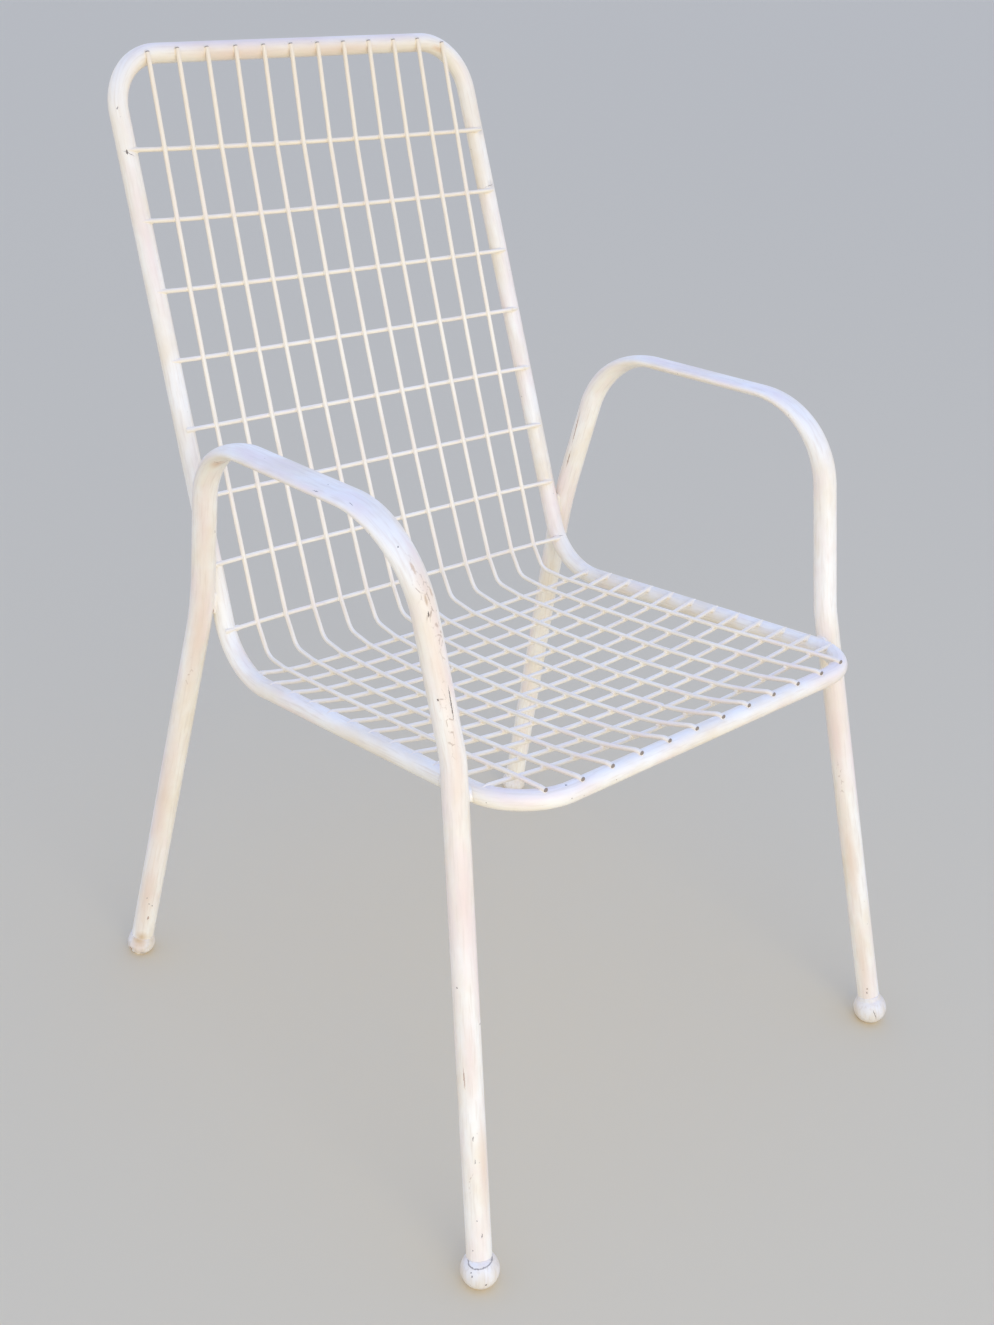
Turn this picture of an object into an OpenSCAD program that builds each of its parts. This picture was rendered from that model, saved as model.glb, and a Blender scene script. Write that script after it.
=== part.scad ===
/* [Seat] */
// Height of the front rail's centre above the ground
seat_front_h = 411; // [380:1:450]
// Length of the seat, from the front rail to the corner of the back bend
seat_l = 385; // [350:1:420]
// Slope of the seat, down to the back, in degrees
seat_slope = 9.5; // [6:0.5:12]
// Width of the seat at its front, between the rails' centres
seat_front_w = 456; // [430:1:500]
// Radius of the front corners
front_corner_r = 57; // [40:1:60]
// Height of the seat's long wires over the rails' centres, at the rails and the bend
seat_rise_rear = 7; // [4:0.5:9]
// The same height at the front rail
seat_rise_front = 14; // [11:0.5:15]
// Sag of the seat's wires in the middle of its width, at the bend
seat_sag_rear = 0.5; // [0:0.5:3]
// The same sag at the front rail
seat_sag_front = 9.5; // [5:0.5:10]
// Further sag in the middle of the seat
seat_dish = 12; // [4:0.5:14]

/* [Back] */
// Length of the back, from the corner of the bend to the top rail
back_l = 557; // [500:1:620]
// Lean of the back behind the upright, in degrees
back_lean = 25.5; // [18:0.5:30]
// Width at the bend, between the rails' centres
bend_w = 437; // [410:1:480]
// Width at the top, between the rails' centres
back_top_w = 414; // [380:1:450]
// Radius of the bend between the seat and the back
bend_r = 65; // [50:1:80]
// Radius of the top corners
top_corner_r = 51; // [40:1:70]
// Height of the back's long wires in front of the rails' centres, at the rails and the bend
back_rise_low = 3; // [2:0.5:6]
// The same height at the top rail
back_rise_top = 13.5; // [11:0.5:15]
// How far the wires beside the rails lie behind the straight line between those heights
back_rise_dip = 2.5; // [0:0.5:4]
// Forward swell of the back's wires in the middle of its width, at the bend
back_swell_low = 3.5; // [0:0.5:5]
// Backward bow of the back's wires in the middle of its width, at the top rail
back_bow_top = 7.5; // [4:0.5:9]
// Further bow in the middle of the back
back_dish = 6.5; // [2:0.5:9]

/* [Tubes] */
// Outside diameter of the loop's tube
loop_d = 18; // [16:0.5:22]
// Outside diameter of the side tubes
side_d = 22; // [20:0.5:25]
// Wall of the tubes
wall = 1.5; // [1:0.1:2]
// Gap between tubes that are welded side by side
touch_gap = 0.1; // [0.05:0.05:0.3]
// Distance from the front rail to the seam between the loop's two ends
seam_setback = 86; // [80:1:110]
// Width of that seam
seam_w = 0.4; // [0.2:0.1:1]
// Length of the sleeve inside the seam
sleeve_l = 50; // [30:1:60]
// Gap between the sleeve and the tube's bore
sleeve_gap = 0.2; // [0.1:0.05:0.4]

/* [Side frames] */
// Distance from the front rail back to the front welds, along the seat
front_weld_setback = 53; // [52:1:62]
// Distance from the bend's corner up to the rear welds, along the back
rear_weld_up = 71; // [66:1:90]
// Lean of the front legs, foot forward, in degrees
front_lean = 18.4; // [14:0.1:22]
// Lean of the rear legs, foot backward, in degrees
rear_lean = 5.7; // [3:0.1:9]
// Distance between the centres of the front feet
front_foot_spread = 563; // [540:1:590]
// Distance between the centres of the rear feet
rear_foot_spread = 536; // [510:1:560]
// Distance between the armrests at their front corners
arm_front_spread = 522; // [506:1:540]
// Distance between the armrests at their rear corners
arm_rear_spread = 503; // [490:1:520]
// Height of the armrests' front corners
arm_front_h = 616; // [590:1:650]
// Height of the armrests' rear corners
arm_rear_h = 585; // [560:1:620]
// Radius of the armrests' front bends
arm_front_r = 92; // [70:1:100]
// Radius of the armrests' rear bends
arm_rear_r = 78; // [60:1:90]
// Height of the front tubes' slight bend above the front welds
front_kink_rise = 31; // [20:1:40]
// Radius of that bend
front_kink_r = 84; // [60:1:120]
// Radius of the slight bend at the rear welds
rear_kink_r = 400; // [200:10:450]
// Width of the flattened armrests
arm_w = 30; // [26:0.5:32]
// Thickness of the flattened armrests
arm_t = 11.4; // [9:0.1:14]
// Radius of the weld metal round the place where two tubes touch
weld_r = 7.5; // [6:0.5:9]
// Gap between the weld metal and the tubes
weld_gap = 0.2; // [0.1:0.05:0.3]

/* [Wires] */
// Diameter of the wires
wire_d = 4.2; // [3:0.1:5]
// Number of long wires
long_wires = 12; // [10:1:14]
// Number of cross wires in the back
back_cross_wires = 8; // [6:1:9]
// Number of cross wires in the seat
seat_cross_wires = 12; // [10:1:13]
// Pitch of the long wires at the top rail
top_pitch = 31.8; // [30:0.1:33]
// Pitch of the long wires at the bend
bend_pitch = 33.1; // [31:0.1:34]
// Pitch of the long wires at the front rail
front_pitch = 35.2; // [33:0.1:36]
// Distance from the bend's corner to the lowest cross wire of the back
back_cross_start = 37; // [34:1:42]
// Distance from the top rail to the highest cross wire of the back
back_cross_end = 87; // [60:1:110]
// Distance from the bend's corner to the rearmost cross wire of the seat
seat_cross_start = 36; // [34:1:44]
// Distance from the front rail to the foremost cross wire of the seat
seat_cross_end = 38; // [30:1:44]
// How far the mesh lies out of the middle, to the right, at the bend and on the seat
mesh_shift_low = -3; // [-5:0.5:5]
// The same at the top rail
mesh_shift_top = 3; // [-5:0.5:5]
// Skew of the cross wires, with their right ends towards the front rail, in degrees
mesh_skew = 1.1; // [-1.5:0.1:1.5]
// Radius of the long wires' bend between the seat and the back
wire_bend_r = 31; // [20:1:31]
// Share of a wire's thickness that is left where it is pressed and welded onto a rail
end_squash = 0.5; // [0.4:0.05:1]
// Distance before a rail's crest at which a wire comes down onto the rail
wire_seat = 2; // [2:0.5:5]
// How far the cross wires reach past the crest of the left rail
left_past = 6; // [0.5:0.5:7]
// How far the cross wires reach past the crest of the right rail
right_past = 0.5; // [0.5:0.5:7]
// How far the long wires reach past the crest of the top rail
top_past = 2; // [0.5:0.5:7]
// How far the long wires reach past the crest of the front rail
front_past = 5; // [0.5:0.5:7]
// Share of a rail's round that a wire's end follows past the crest
end_wrap = 0.75; // [0.5:0.05:0.8]
// Gap between wires where they cross
cross_gap = 0.2; // [0.15:0.01:0.3]

/* [Feet] */
// Diameter of the front foot caps
front_cap_d = 33.5; // [30:0.5:38]
// Diameter of the rear foot caps
rear_cap_d = 27.5; // [26.5:0.5:34]
// Diameter of the flat that a cap stands on
cap_flat_d = 18; // [8:0.5:20]
// Depth of a cap's socket below the centre of its ball
cap_socket = 3; // [1:0.5:5]
// Height of a cap's neck above its ball
cap_neck_h = 4.5; // [3:0.5:6]
// Thickness of a cap's neck where it leaves the ball
cap_neck_t = 1.4; // [1.2:0.1:2]
// Thickness of a cap's rim
cap_rim_t = 0.8; // [0.6:0.1:1.2]
// Gap between a leg and its cap's socket
cap_gap = 0.1; // [0.05:0.05:0.3]

/* [Hidden] */
SIDES = ["left", "right"];

paint = "#f1ece4";
wire_paint = "#e9e7e6";
cap_paint = "#ece8e2";

// Sides of a tube's and a wire's cross section, and the turn from one ring of points to the next
tube_sides = 16;
wire_sides = 6;
arc_step = 10;
wire_arc_step = 20;
// Sides of the turned and moulded rounds, and of the weld metal
round_sides = 72;
weld_sides = 18;
weld_cut_sides = 32;

// Angle of the back against the seat's rearward line, in the seat's own plane of rest
back_angle = 90 - back_lean + seat_slope;
back_cross_pitch = (back_l - back_cross_start - back_cross_end) / (back_cross_wires - 1);
seat_cross_pitch = (seat_l - seat_cross_start - seat_cross_end) / (seat_cross_wires - 1);
seat_way = [0, cos(seat_slope), -sin(seat_slope)];
back_way = [0, sin(back_lean), cos(back_lean)];
front_mid = [0, 0, seat_front_h];
corner_mid = front_mid + seat_l * seat_way;
top_mid = corner_mid + back_l * back_way;

// Foot caps: the ball's centre stands so high that its flat lies on the ground
function ball_h(cap_d) = sqrt(pow(cap_d / 2, 2) - pow(cap_flat_d / 2, 2));

// Side frames, in their side view: each leg and the post over it are one straight line
front_weld = front_mid + front_weld_setback * seat_way;
rear_weld = corner_mid + rear_weld_up * back_way;
front_post_way = [0, sin(front_lean), cos(front_lean)];
rear_post_way = [0, -sin(rear_lean), cos(rear_lean)];
function front_y(h) = front_weld[1] + (h - front_weld[2]) * tan(front_lean);
function rear_y(h) = rear_weld[1] - (h - rear_weld[2]) * tan(rear_lean);
front_foot_y = front_y(ball_h(front_cap_d));

// The part stands with the middle of its depth over the origin
y_shift = -(front_foot_y - front_cap_d / 2 + top_mid[1] + loop_d / 2) / 2;

// Half the distance between the rails' centres at a distance from the bend's corner
function back_half(d) = (bend_w + (back_top_w - bend_w) * d / back_l) / 2;
function seat_half(d) = (bend_w + (seat_front_w - bend_w) * d / seat_l) / 2;
// How far the rounds of the front and top corners reach in from the corners' points
seat_splay = atan((seat_front_w - bend_w) / 2 / seat_l);
back_taper = atan((bend_w - back_top_w) / 2 / back_l);
front_reach = front_corner_r * tan((90 + seat_splay) / 2);
top_reach = top_corner_r * tan((90 - back_taper) / 2);
// How far a rounded corner draws a rail in, at a distance past the start of its round
function corner_drop(past, r) = past <= 0 ? 0 : r - sqrt(max(r * r - past * past, 0));
function seat_crest(d) =
    let (past = d - seat_l + front_corner_r)
    past <= 0 ? seat_half(d) : min(
        seat_half(d),
        seat_front_w / 2 - front_reach + front_corner_r - corner_drop(past, front_corner_r));

function unit(v) = v / norm(v);
function turn_of(a, v, b) = acos(max(-1, min(1, unit(v - a) * unit(b - v))));
function mirrored(points) = [for (p = points) [-p[0], p[1], p[2]]];
function reversed(list) = [for (i = [len(list) - 1 : -1 : 0]) list[i]];

// A path is a list of stations: [point, direction, flatness]

// Stations round one bent corner
function corner_stations(a, v, b, r, flat_from, flat_to, step) =
    let (p = unit(a - v))
    let (q = unit(b - v))
    let (turn = turn_of(a, v, b))
    let (start = v + p * r * tan(turn / 2))
    let (centre = v + unit(p + q) * r / cos(turn / 2))
    let (u = unit(start - centre))
    let (n = max(1, ceil(turn / step)))
    [for (i = [0 : n])
        let (s = turn * i / n)
        let (ease = (1 - cos(180 * i / n)) / 2)
        [centre + r * (u * cos(s) - p * sin(s)),
         -p * cos(s) - u * sin(s),
         flat_from + (flat_to - flat_from) * ease]];

// One station at a corner that is left sharp
function sharp_station(a, v, b) = [v, unit(unit(v - a) + unit(b - v)), 0];

// Stations along points whose inner corners are rounded; each corner is [radius, flat before, flat after]
function stations(points, corners, step) = concat(
    [[points[0], unit(points[1] - points[0]), corners[0][1]]],
    [for (i = [1 : len(points) - 2])
        let (c = corners[i - 1])
        each c[0] == 0
            ? [sharp_station(points[i - 1], points[i], points[i + 1])]
            : corner_stations(points[i - 1], points[i], points[i + 1], c[0], c[1], c[2], step)],
    [[points[len(points) - 1],
      unit(points[len(points) - 1] - points[len(points) - 2]),
      corners[len(corners) - 1][2]]]);

// Each station's first cross axis, carried along from the start with no twist
function cross_axes(path, first) = [
    for (i = 0, v = first; i < len(path);
         i = i + 1, v = i < len(path) ? unit(v - (v * path[i][1]) * path[i][1]) : v) v];

// Points of one ring: half sizes along the first and the second cross axis
function ring(station, axis, along_first, along_second, sides) =
    let (a = unit(axis - (axis * station[1]) * station[1]))
    let (b = cross(station[1], a))
    [for (k = [0 : sides - 1])
        let (t = 360 * k / sides)
        station[0] + a * along_first * cos(t) + b * along_second * sin(t)];

// Two triangles for each side between two neighbouring rings
function skin(rings, sides, offset, outward) = [
    for (i = [0 : rings - 2], k = [0 : sides - 1])
        let (m = (k + 1) % sides)
        let (a = offset + i * sides + k)
        let (b = offset + i * sides + m)
        each outward
            ? [[a, a + sides, b + sides], [a, b + sides, b]]
            : [[a, b + sides, a + sides], [a, b, b + sides]]];

// Two triangles for each side of a tube's open end
function rim(sides, outer, inner, forward) = [
    for (k = [0 : sides - 1])
        let (m = (k + 1) % sides)
        each forward
            ? [[outer + k, outer + m, inner + m], [outer + k, inner + m, inner + k]]
            : [[outer + k, inner + m, outer + m], [outer + k, inner + k, inner + m]]];

// Hollow tube along a path; size gives a station's half sizes along its two cross axes
module tube_along(path, first_axis, half_first, half_second) {
    n = len(path);
    sides = tube_sides;
    axes = cross_axes(path, first_axis);
    outer = [for (i = [0 : n - 1])
        each ring(path[i], axes[i], half_first[i], half_second[i], sides)];
    inner = [for (i = [0 : n - 1])
        each ring(path[i], axes[i], half_first[i] - wall, half_second[i] - wall, sides)];
    inside = n * sides;
    last = (n - 1) * sides;
    polyhedron(
        points = concat(outer, inner),
        faces = concat(
            skin(n, sides, 0, true),
            skin(n, sides, inside, false),
            rim(sides, 0, inside, true),
            rim(sides, last, inside + last, false)),
        convexity = 10);
}

// Solid wire along a path, pressed thinner along its first cross axis where the path is flat
module wire_along(path, first_axis) {
    n = len(path);
    sides = wire_sides;
    axes = cross_axes(path, first_axis);
    thick = [for (s = path) wire_d / 2 * (1 - (1 - end_squash) * s[2])];
    polyhedron(
        points = [for (i = [0 : n - 1]) each ring(path[i], axes[i], thick[i], wire_d / 2, sides)],
        faces = concat(
            skin(n, sides, 0, true),
            [[for (k = [0 : sides - 1]) k]],
            [[for (k = [sides - 1 : -1 : 0]) (n - 1) * sides + k]]),
        convexity = 4);
}

// Places a child from the seat's frame: origin at the bend's corner, y back along the seat, z square to it
module in_seat_frame() {
    translate([0, y_shift, 0] + corner_mid) rotate([-seat_slope, 0, 0]) children();
}

// Points in the seat's frame: distance along the seat or the back, and height over the rails' centres
function on_seat(x, d, rise) = [x, -d, rise];
function on_back(x, d, rise) = [
    x,
    d * cos(back_angle) - rise * sin(back_angle),
    d * sin(back_angle) + rise * cos(back_angle)];

// The loop runs from its seam forward, round the seat and the back, and to the seam again
module seat_back_loop() {
    seam = seat_l - seam_setback;
    half_way = [
        on_seat(0, seat_l, 0),
        on_seat(seat_front_w / 2, seat_l, 0),
        on_seat(bend_w / 2, 0, 0),
        on_back(back_top_w / 2, back_l, 0),
        on_back(0, back_l, 0)];
    left = mirrored(half_way);
    points = concat(
        [on_seat(-seat_half(seam + seam_w / 2), seam + seam_w / 2, 0), left[1]],
        [for (i = [1 : 3]) half_way[i]],
        [left[3], left[2]],
        [on_seat(-seat_half(seam - seam_w / 2), seam - seam_w / 2, 0)]);
    radii = [front_corner_r, front_corner_r, bend_r, top_corner_r, top_corner_r, bend_r];
    path = stations(points, [for (r = radii) [r, 0, 0]], arc_step);
    half = [for (s = path) loop_d / 2];
    color(paint) in_seat_frame() tube_along(path, [0, 0, 1], half, half);
}

// Short tube that holds the loop's two ends in line
module loop_joint_sleeve() {
    seam = seat_l - seam_setback;
    outer_d = loop_d - 2 * wall - 2 * sleeve_gap;
    color(wire_paint) in_seat_frame()
        translate(on_seat(-seat_half(seam), seam, 0))
        rotate([90, 0, -seat_splay])
        difference() {
            cylinder(h = sleeve_l, d = outer_d, center = true, $fn = round_sides);
            cylinder(h = 2 * sleeve_l, d = outer_d - 2 * wall, center = true, $fn = round_sides);
        }
}

// How far a rounded corner's curve lies inside the corner's point
function bulge(r, turn) = r * (1 / cos(turn / 2) - 1);

// Distance between the rail's and the side tube's centres, in X, where the two tubes touch
function apart(rail_way, tube_way) =
    let (square = cross(rail_way, tube_way))
    ((loop_d + side_d) / 2 + touch_gap) * norm(square) / abs(square[0]);

// Corner points of the right side tube, from the rear foot to the front foot
rear_foot = [rear_foot_spread / 2, rear_y(ball_h(rear_cap_d)), ball_h(rear_cap_d)];
front_foot = [front_foot_spread / 2, front_foot_y, ball_h(front_cap_d)];
arm_rear = [arm_rear_spread / 2, rear_y(arm_rear_h), arm_rear_h];
arm_front = [arm_front_spread / 2, front_y(arm_front_h), arm_front_h];

// At the rear the slight bend itself touches the rail
rear_rail_x = back_half(rear_weld_up);
rear_rail_way = unit(back_way - [tan(back_taper), 0, 0]);
rear_touch_x = rear_rail_x + apart(rear_rail_way, rear_post_way);
rear_turn =
    atan((arm_rear[0] - rear_touch_x) / (arm_rear_h - rear_weld[2]))
    + atan((rear_foot[0] - rear_touch_x) / (rear_weld[2] - rear_foot[2]));
rear_kink = [rear_touch_x - bulge(rear_kink_r, rear_turn), rear_weld[1], rear_weld[2]];

// At the front the straight leg touches the rail, below the slight bend
front_rail_x = seat_crest(seat_l - front_weld_setback);
front_rail_turn = max(front_corner_r - front_weld_setback, 0) / front_corner_r;
front_rail_way = unit(seat_way + [front_rail_turn - tan(seat_splay), 0, 0]);
front_splay = (front_foot[0] - front_rail_x - (loop_d + side_d) / 2) / (front_weld[2] - front_foot[2]);
front_leg_way = unit(front_post_way - [front_splay * cos(front_lean), 0, 0]);
front_touch_x = front_rail_x + apart(front_rail_way, front_leg_way);
front_kink_h = front_weld[2] + front_kink_rise;
front_kink = [
    front_touch_x - (front_foot[0] - front_touch_x) * front_kink_rise / (front_weld[2] - front_foot[2]),
    front_y(front_kink_h),
    front_kink_h];

// The tube's ends stand on the floors of the caps' sockets
rear_end = rear_foot - cap_socket * unit(rear_kink - rear_foot);
front_end = front_foot - cap_socket * unit(front_kink - front_foot);

// Rear leg, armrest and front leg in one bent tube, pressed flat along the armrest
module side_tube(side) {
    points = [rear_end, rear_kink, arm_rear, arm_front, front_kink, front_end];
    path = stations(
        side == "left" ? mirrored(points) : points,
        [[rear_kink_r, 0, 0], [arm_rear_r, 0, 1], [arm_front_r, 1, 0], [front_kink_r, 0, 0]],
        arc_step);
    wide = [for (s = path) (side_d + (arm_w - side_d) * s[2]) / 2];
    thick = [for (s = path) (side_d + (arm_t - side_d) * s[2]) / 2];
    color(paint) translate([0, y_shift, 0]) tube_along(path, [1, 0, 0], wide, thick);
}

// Turns +Z onto a direction
module along(direction) {
    rotate([0, acos(direction[2] / norm(direction)), atan2(direction[1], direction[0])]) children();
}

// The point of one line that is nearest to another line
function nearest(p, p_way, q, q_way) =
    let (b = p_way * q_way)
    let (w = p - q)
    p + p_way * (b * (q_way * w) - p_way * w) / (1 - b * b);

// Weld metal that fills the groove round the place where a side tube touches a rail
module weld(rail_x, touch_x, place, rail_way, tube_way) {
    rail_point = [rail_x, place[1], place[2]];
    tube_point = [touch_x, place[1], place[2]];
    rail_near = nearest(rail_point, rail_way, tube_point, tube_way);
    tube_near = nearest(tube_point, tube_way, rail_point, rail_way);
    reach = 4 * weld_r;
    difference() {
        translate(rail_near + unit(tube_near - rail_near) * (loop_d + touch_gap) / 2)
            sphere(r = weld_r, $fn = weld_sides);
        translate(rail_near) along(rail_way)
            cylinder(h = reach, d = loop_d + 2 * weld_gap, center = true, $fn = weld_cut_sides);
        translate(tube_near) along(tube_way)
            cylinder(h = reach, d = side_d + 2 * weld_gap, center = true, $fn = weld_cut_sides);
    }
}

// The chair's right side; the left is its mirror image
module right_welds() {
    weld(front_rail_x, front_touch_x, front_weld, front_rail_way, front_leg_way);
    weld(rear_rail_x, rear_touch_x, rear_weld, rear_rail_way, rear_post_way);
}
module frame_welds() {
    color(paint) translate([0, y_shift, 0]) {
        right_welds();
        mirror([1, 0, 0]) right_welds();
    }
}

// Height of a wire's centre over the rails' centres where it is pressed onto a rail's crest
crest = (loop_d + wire_d * end_squash) / 2;
end_bend_r = 2 * wire_d;

// Height of a wire on the crest of a rail, which rises where the rail rounds the bend
bend_reach = bend_r * tan(back_angle / 2);
facet_rise = bend_r * (1 - cos(arc_step / 2));
function bend_crest(d) = d >= bend_reach
    ? crest
    : bend_r + facet_rise - sqrt(pow(bend_r - crest, 2) - pow(bend_reach - d, 2));

// A wire's end over a rail: [distance past the crest, height], from where it comes down to its tip
function wire_end(past, top) =
    let (drop = crest - sqrt(crest * crest - past * past))
    [[-wire_seat, top], [past / 2, top], [past, top - end_wrap * drop]];

// Places in the mesh are counts: of pitches from its middle line, and of rows from the bend.
// Its wires bend only at these counts, the outermost just past the last crossings.
last_count = (long_wires - 1) / 2;
count_knee = wire_d / 2 / bend_pitch;
count_knots = concat(
    [-last_count - count_knee],
    [for (k = [2 - last_count : 2 : last_count - 1]) k],
    [last_count + count_knee]);
function row_knots(rows, pitch, step) = concat(
    [for (k = [1 : step : rows - step + 1]) k],
    [rows + wire_d / 2 / pitch]);
back_knots = row_knots(back_cross_wires, back_cross_pitch, 3);
seat_knots = row_knots(seat_cross_wires, seat_cross_pitch, 3);

// Where the rows and the long wires lie
function back_row_d(row) = back_cross_start + (row - 1) * back_cross_pitch;
function seat_row_d(row) = seat_cross_start + (row - 1) * seat_cross_pitch;
function back_x(count, d) =
    mesh_shift_low + (mesh_shift_top - mesh_shift_low) * pow(d / back_l, 2)
    + count * (bend_pitch + (top_pitch - bend_pitch) * d / back_l);
function seat_x(count, d) = mesh_shift_low + count * (bend_pitch + (front_pitch - bend_pitch) * d / seat_l);

// A smooth hump over a length: none at its two ends, all in its middle
function hump(share) = 4 * share * (1 - share);

// Depth of the mesh's dish at a count, as a share of its depth in the middle
function dish(count) = lookup(count, [
    for (k = count_knots) [k, 1 - pow(2 * k / (long_wires + 1), 2)]]);

// Height of the long wires in the back and in the seat, at a count and a row
function back_rise(count, row) = lookup(row, [
    for (k = back_knots)
        let (t = back_row_d(k) / back_l)
        let (edge = back_rise_low + (back_rise_top - back_rise_low) * t - back_rise_dip * hump(t))
        let (bow = (back_bow_top + back_swell_low) * t - back_swell_low + back_dish * hump(t))
        [k, edge - bow * dish(count)]]);
function seat_rise(count, row) = lookup(row, [
    for (k = seat_knots)
        let (t = seat_row_d(k) / seat_l)
        let (edge = seat_rise_rear + (seat_rise_front - seat_rise_rear) * t)
        let (sag = seat_sag_rear + (seat_sag_front - seat_sag_rear) * t + seat_dish * hump(t))
        [k, edge - sag * dish(count)]]);

// A point of the mesh at a count and a row; low is how far it lies below the long wires
function back_point(count, row, low) =
    let (x = back_x(count, back_row_d(row)))
    on_back(x, back_row_d(row) - x * tan(mesh_skew), back_rise(count, row) - low);
function seat_point(count, row, low) =
    let (x = seat_x(count, seat_row_d(row)))
    on_seat(x, seat_row_d(row) + x * tan(mesh_skew), seat_rise(count, row) - low);

// A wire through the mesh, with its two ends laid over the rails
module meshed_wire(first_end, middle, bends, last_end, up) {
    points = concat(reversed(first_end), middle, last_end);
    pressed = [end_bend_r, 1, 1];
    corners = concat([pressed, pressed], [for (r = bends) [r, 0, 0]], [pressed, pressed]);
    path = stations(points, corners, wire_arc_step);
    color(wire_paint) in_seat_frame() wire_along(path, up);
}

// One wire from the top rail to the front rail
module long_wire(i) {
    count = i - 1 - last_count;
    top_x = back_x(count, back_l);
    front_x = seat_x(count, seat_l);
    top_d = back_l - corner_drop(abs(top_x) - back_top_w / 2 + top_reach, top_corner_r);
    front_d = seat_l - corner_drop(abs(front_x) - seat_front_w / 2 + front_reach, front_corner_r);
    // The seat's and the back's wire lines meet here
    bend_d = (back_rise(count, 1) - seat_rise(count, 1) * cos(back_angle)) / sin(back_angle);
    meshed_wire(
        [for (p = wire_end(top_past, crest)) on_back(top_x, top_d + p[0], p[1])],
        concat(
            [for (row = reversed(back_knots)) back_point(count, row, 0)],
            [[seat_x(count, 0), -bend_d, seat_rise(count, 1)]],
            [for (row = seat_knots) seat_point(count, row, 0)]),
        concat([for (row = back_knots) 0], [wire_bend_r], [for (row = seat_knots) 0]),
        [for (p = wire_end(front_past, crest)) on_seat(front_x, front_d + p[0], p[1])],
        [0, -sin(back_angle), cos(back_angle)]);
}

// The cross wires lie below the long wires
cross_low = wire_d + cross_gap;
module back_cross_wire(i) {
    ends = [for (side = [-1, 1])
        let (d = back_row_d(i) - side * back_half(back_row_d(i)) * tan(mesh_skew))
        [for (p = wire_end(side < 0 ? left_past : right_past, bend_crest(d)))
            on_back(side * (back_half(d) + p[0]), d - side * p[0] * tan(mesh_skew), p[1])]];
    meshed_wire(
        ends[0],
        [for (count = count_knots) back_point(count, i, cross_low)],
        [for (count = count_knots) 0],
        ends[1],
        [0, -sin(back_angle), cos(back_angle)]);
}
module seat_cross_wire(i) {
    ends = [for (side = [-1, 1])
        let (d = seat_row_d(i) + side * seat_half(seat_row_d(i)) * tan(mesh_skew))
        [for (p = wire_end(side < 0 ? left_past : right_past, bend_crest(d)))
            on_seat(side * (seat_crest(d) + p[0]), d + side * p[0] * tan(mesh_skew), p[1])]];
    meshed_wire(
        ends[0],
        [for (count = count_knots) seat_point(count, i, cross_low)],
        [for (count = count_knots) 0],
        ends[1],
        [0, 0, 1]);
}

// Round cap with a socket for the leg, cut flat where it stands
module cap(ball_d, foot, way) {
    socket_d = side_d + 2 * cap_gap;
    neck_base = sqrt(pow(ball_d / 2, 2) - pow(socket_d / 2 + cap_neck_t, 2));
    difference() {
        translate(foot) along(way) difference() {
            union() {
                sphere(d = ball_d, $fn = round_sides);
                translate([0, 0, neck_base]) cylinder(
                    h = cap_neck_h,
                    r1 = socket_d / 2 + cap_neck_t,
                    r2 = socket_d / 2 + cap_rim_t,
                    $fn = round_sides);
            }
            translate([0, 0, -cap_socket]) cylinder(h = ball_d, d = socket_d, $fn = round_sides);
        }
        translate([foot[0], foot[1], -ball_d / 2]) cube([2 * ball_d, 2 * ball_d, ball_d], center = true);
    }
}
module foot_cap(end, side) {
    ball_d = end == "front" ? front_cap_d : rear_cap_d;
    foot = end == "front" ? front_foot : rear_foot;
    kink = end == "front" ? front_kink : rear_kink;
    color(cap_paint) translate([0, y_shift, 0])
        mirror([side == "left" ? 1 : 0, 0, 0]) cap(ball_d, foot, kink - foot);
}

seat_back_loop();
loop_joint_sleeve();
frame_welds();
for (side = SIDES)
    side_tube(side);
for (i = [1 : long_wires])
    long_wire(i);
for (i = [1 : back_cross_wires])
    back_cross_wire(i);
for (i = [1 : seat_cross_wires])
    seat_cross_wire(i);
for (end = ["front", "rear"], side = SIDES)
    foot_cap(end, side);
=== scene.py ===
import math

import bpy
import numpy as np
from mathutils import Matrix, Vector


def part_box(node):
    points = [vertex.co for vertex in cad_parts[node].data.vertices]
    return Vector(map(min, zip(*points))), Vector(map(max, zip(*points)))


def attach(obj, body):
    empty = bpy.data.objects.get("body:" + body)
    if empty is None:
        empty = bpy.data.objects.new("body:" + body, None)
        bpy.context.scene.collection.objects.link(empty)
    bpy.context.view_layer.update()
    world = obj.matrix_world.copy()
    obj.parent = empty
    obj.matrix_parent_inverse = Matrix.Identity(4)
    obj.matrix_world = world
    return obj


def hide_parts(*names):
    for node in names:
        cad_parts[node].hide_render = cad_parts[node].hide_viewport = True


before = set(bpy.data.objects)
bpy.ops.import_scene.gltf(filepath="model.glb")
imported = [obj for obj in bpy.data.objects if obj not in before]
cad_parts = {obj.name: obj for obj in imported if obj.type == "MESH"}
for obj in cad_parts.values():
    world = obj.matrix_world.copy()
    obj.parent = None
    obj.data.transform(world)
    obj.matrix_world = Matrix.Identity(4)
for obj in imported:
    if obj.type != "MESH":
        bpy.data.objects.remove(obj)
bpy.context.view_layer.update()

# ---------------------------------------------------------------------------------------------
# Seat and back loop: one length of 18 mm drawn steel tube, bent cold round the seat and the back.
# Its two ends butt in the left seat rail over an inner sleeve, and leave a hairline in the paint.
# ---------------------------------------------------------------------------------------------
MM = 0.001
WALL, BORE_DEPTH, LIP = 1.5 * MM, 20 * MM, 0.3 * MM
LOOP_R, SIDE_R = 9 * MM, 11 * MM
SEAT_L, BACK_L = 385 * MM, 557 * MM
SEAT_SLOPE, BACK_LEAN = math.radians(9.5), math.radians(25.5)
FRONT_W, BEND_W, TOP_W = 456 * MM, 437 * MM, 414 * MM
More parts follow.
